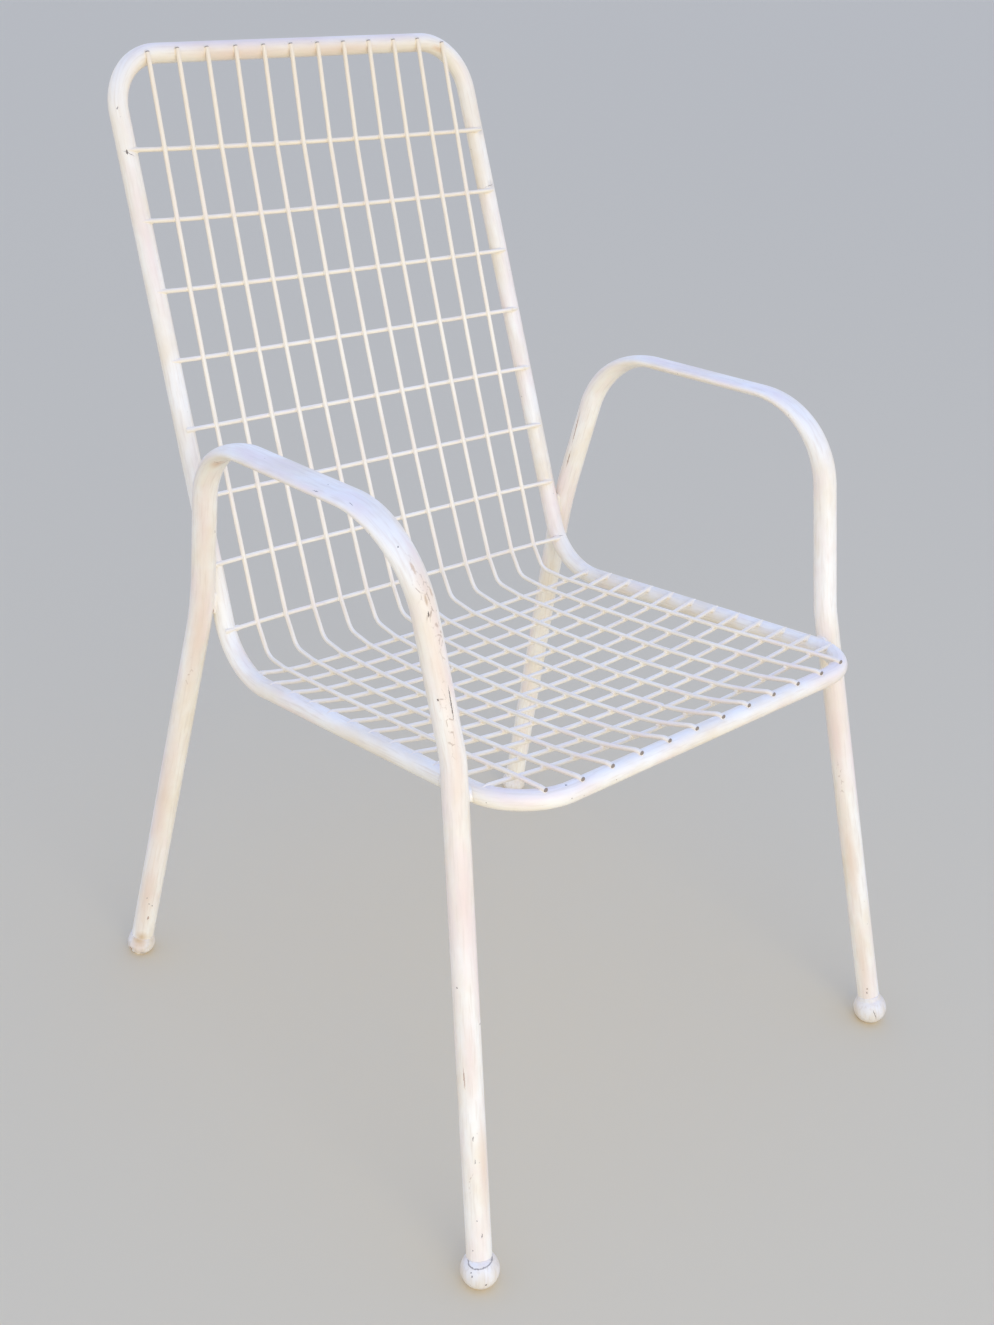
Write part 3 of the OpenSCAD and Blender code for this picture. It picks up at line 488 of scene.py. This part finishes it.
def saddle_bead(rail_point, rail_way, tube_point, tube_way, around=48, across=9):
    """Points and faces of a closed bead in the groove where a rail and a side tube touch."""
    rail_near = nearest(rail_point, rail_way, tube_point, tube_way)
    tube_near = nearest(tube_point, tube_way, rail_point, rail_way)
    out = unit(tube_near - rail_near)
    a = unit(rail_way - (rail_way @ out) * out)
    b = np.cross(out, a)

    def drop(way, r, x, y):
        # How far a tube's skin has curved away at a place in the plane of contact
        off = abs((a * x + b * y) @ np.cross(way, out)) / np.linalg.norm(np.cross(way, out))
        return r - math.sqrt(max(r * r - off * off, 0))

    points, faces = [], []
    contact = rail_near + out * LOOP_R
    for k in range(around):
        x, y = math.cos(2 * math.pi * k / around), math.sin(2 * math.pi * k / around)
        reach = BEAD_START
        while reach < BEAD_REACH and (drop(rail_way, LOOP_R, x * reach, y * reach)
                                      + drop(tube_way, SIDE_R, x * reach, y * reach) < BEAD_GAP):
            reach += 0.1 * MM
        low = -drop(rail_way, LOOP_R, x * reach, y * reach) - BEAD_SUNK
        high = drop(tube_way, SIDE_R, x * reach, y * reach) + BEAD_SUNK + TOUCH_GAP
        for j in range(across + 1):
            t = j / across
            hollow = BEAD_HOLLOW * (high - low) * math.sin(math.pi * t)
            points.append(contact + (a * x + b * y) * (reach - hollow) + out * (low + (high - low) * t))
    ring = across + 1
    for k in range(around):
        m = (k + 1) % around
        faces += [[k * ring + j, m * ring + j, m * ring + j + 1, k * ring + j + 1] for j in range(across)]
    points += [contact - out * BEAD_SUNK, contact + out * (BEAD_SUNK + TOUCH_GAP)]
    low_mid, high_mid = len(points) - 2, len(points) - 1
    for k in range(around):
        m = (k + 1) % around
        faces += [[m * ring, k * ring, low_mid], [k * ring + across, m * ring + across, high_mid]]
    return points, faces


bead_points, bead_faces = [], []
for sign in (-1, 1):
    flip = np.array([sign, 1, 1])
    for rail_x, touch_x, weld_place, rail_way, tube_way in (
            (front_rail_x, front_touch_x, front_weld, front_rail_way, front_leg_way),
            (rear_rail_x, rear_touch_x, rear_weld, rear_rail_way, rear_post_way)):
        rail_point = np.array([rail_x, *weld_place[1:]]) * flip
        tube_point = np.array([touch_x, *weld_place[1:]]) * flip
        some_points, some_faces = saddle_bead(rail_point, rail_way * flip, tube_point, tube_way * flip)
        bead_faces += [[len(bead_points) + v for v in f] for f in some_faces]
        bead_points += some_points
bead_mesh = bpy.data.meshes.new("frame_weld_beads")
bead_mesh.from_pydata([list(p) for p in bead_points], [], bead_faces)
# The beads aren't laid out straight: their skin is their own place in the chair
bead_paint = brushed_enamel("brushed_enamel_on_welds", *FRAME_COLOURS,
                            [("rust", (-229.1, 136.2, 405.0), -63, 0, (3.0, 2.0))])
piece("frame_weld_beads", skinned(bead_mesh, bead_points), "frame_paint", bead_paint, "frame_welds")

# ---------------------------------------------------------------------------------------------
# Wire mesh: 4.2 mm drawn steel wire. Twelve long wires run from the top rail round the bend to the
# front rail. Twenty cross wires lie behind and under them. The mesh was pressed to a shallow dish,
# spot-welded at every crossing, laid on the loop a little askew and welded to its four rails.
# ---------------------------------------------------------------------------------------------
WIRE_R, CROSS_LOW, WIRE_STEP = 2.1 * MM, 3.9 * MM, 4 * MM
LONG_WIRES, BACK_ROWS, SEAT_ROWS = 12, 8, 12
TOP_PITCH, BEND_PITCH, FRONT_PITCH = 31.8 * MM, 33.1 * MM, 35.2 * MM
BACK_START, BACK_END, SEAT_START, SEAT_END = 37 * MM, 87 * MM, 36 * MM, 38 * MM
SHIFT_LOW, SHIFT_TOP, SKEW = -3 * MM, 3 * MM, math.tan(math.radians(1.1))
WIRE_BEND_R, NEAR_BEND_R, CROSSING_R = 16 * MM, 12 * MM, 300 * MM
END_BEND_R, SEAT_BEND_R = 9 * MM, 12 * MM
# The corner of the long wires' own bend lies this far forward of the loop's, and this high over it
KNEE_D, KNEE_RISE = 7.5 * MM, 9.6 * MM
back_rows = np.linspace(BACK_START, BACK_L - BACK_END, BACK_ROWS)
seat_rows = np.linspace(SEAT_START, SEAT_L - SEAT_END, SEAT_ROWS)
counts = [k - (LONG_WIRES - 1) / 2 for k in range(LONG_WIRES)]


def dished(count, t, edge, sag_low, sag_high, deeper):
    """Height of a long wire over the rails' centres: edge beside the rails, less the dish's sag.

    Edge and the sags are in mm, and t is the share of the way from the bend to the end."""
    sag = sag_low + (sag_high - sag_low) * t + deeper * 4 * t * (1 - t)
    return (edge - sag * (1 - (2 * count / (LONG_WIRES + 1)) ** 2)) * MM


def back_rise(count, d):
    t = d / BACK_L
    return dished(count, t, 3 + 10.5 * t - 10 * t * (1 - t), -3.5, 7.5, 6.5)


def seat_rise(count, d):
    t = d / SEAT_L
    return dished(count, t, 7 + 7 * t, 0.5, 9.5, 12)


def back_place(count, d, low=0.0):
    """A place in the back's mesh, low behind the long wires."""
    t = d / BACK_L
    x = SHIFT_LOW + (SHIFT_TOP - SHIFT_LOW) * t * t + count * (BEND_PITCH + (TOP_PITCH - BEND_PITCH) * t)
    return on_back(x, d - x * SKEW, back_rise(count, d) - low)


def seat_place(count, d, low=0.0):
    """A place in the seat's mesh, low under the long wires."""
    x = SHIFT_LOW + count * (BEND_PITCH + (FRONT_PITCH - BEND_PITCH) * d / SEAT_L)
    return on_seat(x, d + x * SKEW, seat_rise(count, d) - low)


def corner_drop(beyond, r):
    return 0 if beyond <= 0 else r - math.sqrt(max(r * r - beyond * beyond, 0))


def seat_rail_x(d):
    """Half the distance between the seat rails, which draw in at the front corners."""
    beyond = d - SEAT_L + FRONT_CORNER_R
    x = rail_half(d, FRONT_W, SEAT_L)
    return x if beyond <= 0 else min(
        x, FRONT_W / 2 - front_reach + FRONT_CORNER_R - corner_drop(beyond, FRONT_CORNER_R))


def wire_sweep():
    """Geometry Nodes that sweep a round wire along a path whose radius says how thick it is."""
    tree = bpy.data.node_groups.new("drawn_wire", "GeometryNodeTree")
    face = tree.interface
    face.new_socket("Path", in_out="INPUT", socket_type="NodeSocketGeometry")
    for label, kind in (("Sides", "NodeSocketInt"), ("Paint", "NodeSocketMaterial")):
        face.new_socket(label, in_out="INPUT", socket_type=kind)
    face.new_socket("Wire", in_out="OUTPUT", socket_type="NodeSocketGeometry")
    given = add(tree, "NodeGroupInput").outputs
    profile = add(tree, "GeometryNodeCurvePrimitiveCircle", {
        "Resolution": given["Sides"], "Radius": 1.0}).outputs[0]
    place = add(tree, "GeometryNodeInputPosition").outputs[0]
    profile = add(tree, "GeometryNodeStoreNamedAttribute", {
        "Geometry": profile, "Name": "around", "Value": place}, data_type="FLOAT_VECTOR").outputs[0]
    so_far = add(tree, "GeometryNodeSplineParameter").outputs["Length"]
    whole = add(tree, "GeometryNodeSplineLength").outputs["Length"]
    to_go = add(tree, "ShaderNodeMath", {0: whole, 1: so_far}, operation="SUBTRACT").outputs[0]
    from_end = add(tree, "ShaderNodeMath", {0: so_far, 1: to_go}, operation="MINIMUM").outputs[0]
    line = given["Path"]
    for label, value in (("along", so_far), ("from_end", from_end)):
        line = add(tree, "GeometryNodeStoreNamedAttribute", {
            "Geometry": line, "Name": label, "Value": value}, data_type="FLOAT").outputs[0]
    thickness = add(tree, "GeometryNodeInputRadius").outputs[0]
    swept = add(tree, "GeometryNodeCurveToMesh", {
        "Curve": line, "Profile Curve": profile, "Scale": thickness, "Fill Caps": True}).outputs[0]
    around, along = (add(tree, "GeometryNodeInputNamedAttribute", {"Name": label}, data_type=kind).outputs[0]
                     for label, kind in (("around", "FLOAT_VECTOR"), ("along", "FLOAT")))
    around = add(tree, "ShaderNodeVectorMath", {0: around, "Scale": WIRE_R}, operation="SCALE").outputs[0]
    flat = add(tree, "ShaderNodeSeparateXYZ", {0: around}).outputs
    skin = add(tree, "ShaderNodeCombineXYZ", {0: flat[0], 1: flat[1], 2: along}).outputs[0]
    swept = add(tree, "GeometryNodeStoreNamedAttribute", {"Geometry": swept, "Name": "skin", "Value": skin},
                data_type="FLOAT_VECTOR").outputs[0]
    swept = add(tree, "GeometryNodeSetShadeSmooth", {"Geometry": swept}).outputs[0]
    swept = add(tree, "GeometryNodeRealizeInstances", {"Geometry": swept}).outputs[0]
    swept = add(tree, "GeometryNodeSetMaterial", {"Geometry": swept, "Material": given["Paint"]}).outputs[0]
    add(tree, "NodeGroupOutput", {"Wire": swept})
    return tree


def grown(name, source, tree, values):
    """The plain mesh that a tree makes of a source curve or mesh, with its inputs set by name."""
    made = bpy.data.objects.new(name, source)
    bpy.context.scene.collection.objects.link(made)
    modifier = made.modifiers.new("nodes", "NODES")
    modifier.node_group = tree
    for item in tree.interface.items_tree:
        if item.name in values:
            modifier[item.identifier] = values[item.name]
    evaluated = made.evaluated_get(bpy.context.evaluated_depsgraph_get())
    mesh = bpy.data.meshes.new_from_object(evaluated)
    mesh.name = name
    bpy.data.objects.remove(made)
    mesh.set_sharp_from_angle(angle=math.radians(40))
    return mesh


wire_tree = wire_sweep()
WIRE_COLOURS = ("#fef5e0", "#faedd7", "#f8e8dc", "#eadbc7")
wire_paint = brushed_enamel("brushed_enamel_on_wire", *WIRE_COLOURS, size_mm=60, yellow=0.55)
# The long wires' cut ends stand clear of the rails and have rusted through their paint. Their dark tips are rust
# and painted shade together
long_wire_paint = brushed_enamel("brushed_enamel_on_long_wire", *WIRE_COLOURS, size_mm=60, yellow=0.55,
                                 rust_and_shade_tip_mm=1.2)
# An end is eased off over a short way, and is pressed thinner over a longer one
EASED, EASED_TO, TAPER = 0.4 * MM, 0.82, 7 * MM
LONG_TIPS, CROSS_TIPS = (0.95, 0.95), (0.35, 0.5)
# Where the ends come down on the rails: mm past a rail's crest, and mm over its centre. Within the
# bend a cross wire's ends lie lower and further in
TOP_SEATS, FRONT_SEATS = ((2, 9.7), (-1.5, 9.9)), ((-2, 10), (5, 9.3))
BEND_SEATS = {-1: ((0, 6.6), (-3, 6.6), (-7, 5.8)), 1: ((-3, 6.9), (-5, 6.2), (-8, 5.2))}
SIDE_SEATS = {-1: ((3.8, 7.2), (0.5, 8.1), (-3, 7.9)), 1: ((1.8, 8.4), (-2, 8.3), (-5, 8.0))}
# Half sizes in mm of the paint gathered on a long wire's end, at a crossing, and on a cross wire's ends
LONG_LUMP, CROSSING_LUMP = (4.5, 3.4, 1.6), (2.9, 2.9, 2.3)
LEFT_LUMP, RIGHT_LUMP = (5.5, 3.0, 1.7), (6, 3.6, 2.6)
LONG_LUMP_SUNK, LEFT_LUMP_SUNK, RIGHT_LUMP_SUNK, LUMP_AHEAD = 1.9 * MM, 0.9 * MM, 1.4 * MM, 1.5 * MM
# Paint that gathers round the wires: place, direction, which way is up, and half sizes in mm
gathered = []


def wire(name, points, radii, tips, paint, node):
    """One wire along points; each tip is the share of its thickness that an end tapers to."""
    path = bent_path(points, [(r, 0, 0) for r in radii], WIRE_STEP)
    places = np.array([path[0, :3], path[0, :3] + EASED * path[0, 3:6], *path[1:-1, :3],
                       path[-1, :3] - EASED * path[-1, 3:6], path[-1, :3]])
    along = distance_along(places)
    thick = np.ones(len(places))
    for tip, away in zip(tips, (along, along[-1] - along)):
        thick = np.minimum(thick, tip + (1 - tip) * np.minimum(away / TAPER, 1) ** 0.8)
    thick[[0, -1]] *= EASED_TO
    line = bpy.data.curves.new(name, "CURVE")
    line.dimensions = "3D"
    spline = line.splines.new("POLY")
    spline.points.add(len(places) - 1)
    spline.points.foreach_set("co", np.column_stack([places, np.ones(len(places))]).ravel())
    spline.points.foreach_set("radius", thick * WIRE_R)
    piece(name, grown(name, line, wire_tree, {"Sides": 14, "Paint": paint}), "wire_paint", paint, node)


top_taper = math.atan((BEND_W - TOP_W) / 2 / BACK_L)
top_reach = TOP_CORNER_R * math.tan((math.pi / 2 - top_taper) / 2)
for i, count in enumerate(counts):
    top_x, front_x = SHIFT_TOP + count * TOP_PITCH, SHIFT_LOW + count * FRONT_PITCH
    top_d = BACK_L - corner_drop(abs(top_x) - TOP_W / 2 + top_reach, TOP_CORNER_R)
    front_d = SEAT_L - corner_drop(abs(front_x) - FRONT_W / 2 + front_reach, FRONT_CORNER_R)
    points = [*(on_back(top_x, top_d + past * MM, rise * MM) for past, rise in TOP_SEATS),
              *(back_place(count, d) for d in back_rows[::-1]),
              on_seat(SHIFT_LOW + count * BEND_PITCH, KNEE_D, KNEE_RISE),
              *(seat_place(count, d) for d in seat_rows),
              *(on_seat(front_x, front_d + past * MM, rise * MM) for past, rise in FRONT_SEATS)]
    radii = [END_BEND_R, *[CROSSING_R] * BACK_ROWS, WIRE_BEND_R, *[CROSSING_R] * SEAT_ROWS, END_BEND_R]
    # Beside the bend the wire turns a little at the crossings too, in rounds that leave the bend room
    radii[BACK_ROWS] = radii[BACK_ROWS + 2] = NEAR_BEND_R
    wire(f"long_wire_{i + 1}_painted", points, radii, LONG_TIPS, long_wire_paint, f"long_wire_{i + 1}")
    for end, inner, up in ((points[0], points[1], on_back(0, 0, 1) - bend_corner),
                           (points[-1], points[-2], seat_up)):
        gathered.append((end + 0.6 * (inner - end) - LONG_LUMP_SUNK * up, inner - end, up, LONG_LUMP))

bend_reach = BEND_R * math.tan(BACK_ANGLE / 2)


def rail_top(d, rise):
    """Height over the rail's straight line, d from the bend's corner, of a place rise over its centre."""
    if d >= bend_reach:
        return rise
    return BEND_R - math.sqrt((BEND_R - rise) ** 2 - (bend_reach - d) ** 2)


def cross_wire(name, place, frame_of, half_of, up, d, slant):
    """A cross wire under the long ones, whose ends come down on the rails and sink into their paint.

    Half_of gives half the distance between the rails at d, and slant how askew the wire lies."""
    ends = []
    for side, seats in (BEND_SEATS if d < bend_reach else SIDE_SEATS).items():
        end_d = d + side * half_of(d) * slant
        ends.append([frame_of(side * (half_of(end_d) + past * MM), end_d + side * past * MM * slant,
                              rail_top(end_d, rise * MM)) for past, rise in seats])
    points = [*ends[0], *(place(count, d, CROSS_LOW) for count in counts), *ends[1][::-1]]
    radii = [END_BEND_R, SEAT_BEND_R, *[CROSSING_R] * LONG_WIRES, SEAT_BEND_R, END_BEND_R]
    wire(f"{name}_painted", points, radii, CROSS_TIPS, wire_paint, name)
    for count in counts:
        here = place(count, d, CROSS_LOW / 2)
        gathered.append((here, place(count + 0.1, d) - place(count, d), up, CROSSING_LUMP))
    for end, inner, size, sunk in ((ends[0][2], points[3], LEFT_LUMP, LEFT_LUMP_SUNK),
                                   (ends[1][1], points[-4], RIGHT_LUMP, RIGHT_LUMP_SUNK)):
        gathered.append((end + unit(inner - end) * LUMP_AHEAD - sunk * up, inner - end, up, size))


for i, d in enumerate(back_rows):
    cross_wire(f"back_cross_wire_{i + 1}", back_place, on_back, lambda d: rail_half(d, TOP_W, BACK_L),
               on_back(0, 0, 1) - bend_corner, d, -SKEW)
for i, d in enumerate(seat_rows):
    cross_wire(f"seat_cross_wire_{i + 1}", seat_place, on_seat, seat_rail_x, seat_up, d, SKEW)

# ---------------------------------------------------------------------------------------------
# Gathered paint: every coat has run together where two wires cross and where a wire lies on a rail,
# over the small squeeze of the spot weld, and makes a smooth fillet there.
# ---------------------------------------------------------------------------------------------
def paint_gather():
    """Geometry Nodes that set a smooth lump on every point, turned and sized by its attributes."""
    tree = bpy.data.node_groups.new("paint_gather", "GeometryNodeTree")
    face = tree.interface
    face.new_socket("Places", in_out="INPUT", socket_type="NodeSocketGeometry")
    for label, kind in (("Segments", "NodeSocketInt"), ("Rings", "NodeSocketInt"),
                        ("Paint", "NodeSocketMaterial")):
        face.new_socket(label, in_out="INPUT", socket_type=kind)
    face.new_socket("Lumps", in_out="OUTPUT", socket_type="NodeSocketGeometry")
    given = add(tree, "NodeGroupInput").outputs
    lump = add(tree, "GeometryNodeMeshUVSphere", {
        "Segments": given["Segments"], "Rings": given["Rings"], "Radius": 1.0}).outputs[0]
    turn, size = (add(tree, "GeometryNodeInputNamedAttribute", {"Name": label},
                      data_type="FLOAT_VECTOR").outputs[0] for label in ("turn", "size"))
    turn = add(tree, "FunctionNodeEulerToRotation", {"Euler": turn}).outputs[0]
    many = add(tree, "GeometryNodeInstanceOnPoints", {
        "Points": given["Places"], "Instance": lump, "Rotation": turn, "Scale": size}).outputs[0]
    many = add(tree, "GeometryNodeRealizeInstances", {"Geometry": many}).outputs[0]
    place = add(tree, "GeometryNodeInputPosition").outputs[0]
    many = add(tree, "GeometryNodeStoreNamedAttribute", {"Geometry": many, "Name": "skin", "Value": place},
               data_type="FLOAT_VECTOR").outputs[0]
    many = add(tree, "GeometryNodeSetShadeSmooth", {"Geometry": many}).outputs[0]
    many = add(tree, "GeometryNodeSetMaterial", {"Geometry": many, "Material": given["Paint"]}).outputs[0]
    add(tree, "NodeGroupOutput", {"Lumps": many})
    return tree


lump_places = bpy.data.meshes.new("paint_places")
lump_places.from_pydata([list(place) for place, *_ in gathered], [], [])
turns, sizes = [], []
for _, ahead, up, size in gathered:
    a = unit(ahead)
    c = unit(up - (up @ a) * a)
    turns.append(Matrix(np.column_stack([a, np.cross(c, a), c]).tolist()).to_euler())
    sizes.append([side * MM for side in size])
for label, rows in (("turn", turns), ("size", sizes)):
    lump_places.attributes.new(label, "FLOAT_VECTOR", "POINT").data.foreach_set(
        "vector", np.array([list(row) for row in rows], float).ravel())
lumps = grown("paint_gathered_on_wires", lump_places, paint_gather(),
              {"Segments": 10, "Rings": 6, "Paint": wire_paint})
piece("paint_gathered_on_wires", lumps, "wire_paint", wire_paint)

# ---------------------------------------------------------------------------------------------
# Foot caps: white moulded plastic balls with a socket for the leg, pushed on and partly painted over
# with the frame. A neck grips the tube, and the ball is flat where it stands. The marks are the
# hairline round the near front cap's mouth, cracks, chips and dirt.
# ---------------------------------------------------------------------------------------------
NECK_H, LOW_NECK_H, NECK_T, LIP_T = 4.5 * MM, 1.2 * MM, 1.4 * MM, 0.55 * MM
BROKEN_DEPTH, BALL_STEPS = 1.3 * MM, 22


def cap_mesh(name, centre, leg_way, cap_r, neck_h, worn, sides=56):
    """A ball round the centre, cut flat at the ground, that turns into a neck along the leg.

    Worn is how deep the ball has broken away in places, low on the side that faces left."""
    down_angle = math.acos(-ball_h(cap_r) / cap_r)
    neck_r = SIDE_R + NECK_T
    neck_angle = math.asin(neck_r / cap_r)
    # Rings: how far the axis has turned from upright to the leg's, height along it, and radius
    rings = [(0, -ball_h(cap_r), 0.6 * CAP_FLAT_R), (0, -ball_h(cap_r), CAP_FLAT_R - 0.4 * MM)]
    for k in range(BALL_STEPS + 1):
        angle = down_angle + (neck_angle - down_angle) * k / BALL_STEPS
        rings.append((min(1, k / (0.7 * BALL_STEPS)), cap_r * math.cos(angle), cap_r * math.sin(angle)))
    base = cap_r * math.cos(neck_angle)
    for t in (0.12, 0.3, 0.5, 0.75, 0.94):
        # The neck's outline leaves the ball in a hollow curve
        rings.append((1, base + neck_h * t, neck_r + (SIDE_R + LIP_T - neck_r) * (1 - (1 - t) ** 1.7)))
    rings += [(1, base + neck_h, SIDE_R + 0.6 * LIP_T), (1, base + neck_h, SIDE_R + 0.04 * MM),
              (1, base + neck_h - 0.5 * MM, SIDE_R - 0.05 * MM), (1, base, SIDE_R - 0.05 * MM)]
    upright = np.array([0, 0, 1.0])
    points, skin = [], []
    for turned, h, r in rings:
        axis = unit(upright * (1 - turned) + leg_way * turned)
        a = unit(np.cross([0, 1.0, 0], axis))
        b = np.cross(axis, a)
        for k in range(sides):
            t = 2 * math.pi * k / sides
            broken = max(0, math.sin(3 * t + 400 * h) + 0.6 * math.sin(7 * t - 700 * h) + 0.2)
            low_left = (max(0, -math.cos(t - 0.6)) * min(max(0.5 - h / cap_r, 0), 1)
                        * min(1, (h + ball_h(cap_r)) / (2 * MM)))
            outward = a * math.cos(t) + b * math.sin(t)
            points.append(centre + axis * h + (r - worn * broken * low_left) * outward)
            skin.append((r * math.cos(t), r * math.sin(t), h))
    return stacked_rings(name, points, skin, len(rings), sides)


cap_marks = {
    "front_left": [
        ("rim", (-12.7, 0.4, 11.2), 177, 52, (4.4, 0.8)), ("rim", (-13.3, -3.9, 8.9), -164, 76, (4.2, 0.8)),
        ("rim", (-11.4, -8.6, 8.2), -145, 86, (4.2, 0.8)), ("rim", (-7.4, -12.0, 8.5), -122, -82, (4.2, 0.8)),
        ("rim", (-1.9, -13.1, 9.7), -96, -76, (4.8, 0.8)), ("rim", (3.6, -11.6, 11.5), -71, -71, (4.6, 0.8)),
        ("chip", (-6.9, -14.6, -4.5), -112, 0, (1.2, 0.8)), ("chip", (-15.1, -5.2, 4.9), -164, 0, (0.8, 0.5)),
        ("chip", (-15.3, -6.3, 2.1), -157, 0, (1.2, 0.5))],
    "front_right": [("crack", (-8.9, -12.5, -0.1), -125, 17, (6.7, 0.6))],
    "rear_left": [
        ("beige", (-10, -8, 2), -141, 0, (14, 14)), ("grime", (-9.8, -6.6, 9), -146, 0, (8, 11)),
        ("rust", (-12.7, 0.8, -5.1), 177, 0, (4.0, 1.5)), ("dull", (-6, -11, -6), -118, 0, (3, 5))],
    "rear_right": []}
CAP_COLOURS = ("#ede8e0", "#e6dac6", "#e8ddd8", "#d8cbb9")
for end, foot, kink, cap_r in (("front", front_foot, front_kink, FRONT_CAP_R),
                               ("rear", rear_foot, rear_kink, REAR_CAP_R)):
    for side, sign in (("left", -1), ("right", 1)):
        corner = f"{end}_{side}"
        name = f"{corner}_foot_cap"
        flip = np.array([sign, 1, 1])
        cap_plastic = brushed_enamel(f"painted_plastic_of_{corner}_cap", *CAP_COLOURS, cap_marks[corner], 18)
        # The near front cap's mouth lies low on its ball, and the near rear cap is broken
        neck_h = LOW_NECK_H if corner == "front_left" else NECK_H
        worn = BROKEN_DEPTH if corner == "rear_left" else 0
        cap = cap_mesh(name, foot * flip, unit(kink - foot) * flip, cap_r, neck_h, worn)
        piece(f"{name}_moulded", cap, "cap_plastic", cap_plastic, name)

# ---------------------------------------------------------------------------------------------
# Studio: a pale floor under soft light, dimmer and cooler overhead than from the front, and the
# camera at the photograph's viewing angle.
# ---------------------------------------------------------------------------------------------
floor_mesh = bpy.data.meshes.new("floor")
floor_mesh.from_pydata([(-30, -30, 0), (30, -30, 0), (30, 30, 0), (-30, 30, 0)], [], [(0, 1, 2, 3)])
floor = bpy.data.objects.new("floor", floor_mesh)
bpy.context.scene.collection.objects.link(floor)
floor_paint = bpy.data.materials.new("studio_floor")
floor_paint.use_nodes = True
floor_shader = floor_paint.node_tree.nodes["Principled BSDF"].inputs
floor_shader["Base Color"].default_value = linear("#dccdac")
floor_shader["Roughness"].default_value = 0.9
floor_mesh.materials.append(floor_paint)

HORIZON, ZENITH, SKY_STRENGTH = "#fff8e8", "#92b3fa", 1.31
BACKDROP = "#bdbbbd"
world = bpy.data.worlds.new("soft_studio")
bpy.context.scene.world = world
world.use_nodes = True
sky = world.node_tree
sky_way = add(sky, "ShaderNodeTexCoord").outputs["Generated"]
height = add(sky, "ShaderNodeSeparateXYZ", {0: sky_way}).outputs["Z"]
background = sky.nodes["Background"]
seen = add(sky, "ShaderNodeLightPath").outputs["Is Camera Ray"]
overhead = add(sky, "ShaderNodeMapRange", {"Value": height, "From Max": 0.9}).outputs[0]
light = add(sky, "ShaderNodeMix", {"Factor": overhead, "A": linear(HORIZON), "B": linear(ZENITH)},
            data_type="RGBA").outputs[COLOUR_OUT]
# Behind the floor's far edge the camera sees a plain backdrop of the floor's own tone
shown = add(sky, "ShaderNodeMix", {"Factor": seen, "A": light, "B": linear(BACKDROP)}, data_type="RGBA")
sky.links.new(shown.outputs[COLOUR_OUT], background.inputs["Color"])
# The backdrop itself shows at a strength of 1
strength = add(sky, "ShaderNodeMath", {0: seen, 1: 1 - SKY_STRENGTH, 2: SKY_STRENGTH},
               operation="MULTIPLY_ADD")
sky.links.new(strength.outputs[0], background.inputs["Strength"])

lamp_data = bpy.data.lights.new("front_softbox", "AREA")
lamp_data.shape, lamp_data.size = "DISK", 3.0
lamp_data.energy = 41
lamp_data.color = (1.0, 0.95, 0.76)
lamp = bpy.data.objects.new("front_softbox", lamp_data)
bpy.context.scene.collection.objects.link(lamp)
lamp_place, lamp_aim = Vector((-1.4, -3.0, 1.25)), Vector((0, 0, 0.4))
lamp_turn = (lamp_aim - lamp_place).to_track_quat("-Z", "Y").to_matrix().to_4x4()
lamp.matrix_world = Matrix.Translation(lamp_place) @ lamp_turn

# The camera's place in mm, its directions and its focal length in the picture's pixels, as fitted
EYE_MM, AHEAD, ASIDE = (-1065.1, -998.06, 1155.1), (0.6422, 0.5949, -0.4834), (0.7204, -0.6839, 0.1153)
FOCAL_PX, PICTURE_H_PX, SENSOR_MM = 1719.6, 1325, 36
camera_data = bpy.data.cameras.new("photo_view")
camera = bpy.data.objects.new("photo_view", camera_data)
bpy.context.scene.collection.objects.link(camera)
ahead = Vector(AHEAD).normalized()
aside = Vector(ASIDE)
aside = (aside - ahead * aside.dot(ahead)).normalized()
turned = Matrix((aside, aside.cross(ahead), -ahead)).transposed()
camera.matrix_world = Matrix.Translation([c * MM for c in EYE_MM]) @ turned.to_4x4()
camera_data.sensor_width = SENSOR_MM
camera_data.lens = SENSOR_MM * FOCAL_PX / PICTURE_H_PX
camera_data.clip_start, camera_data.clip_end = 0.05, 100
bpy.context.scene.camera = camera
bpy.context.scene.view_settings.view_transform = "Standard"
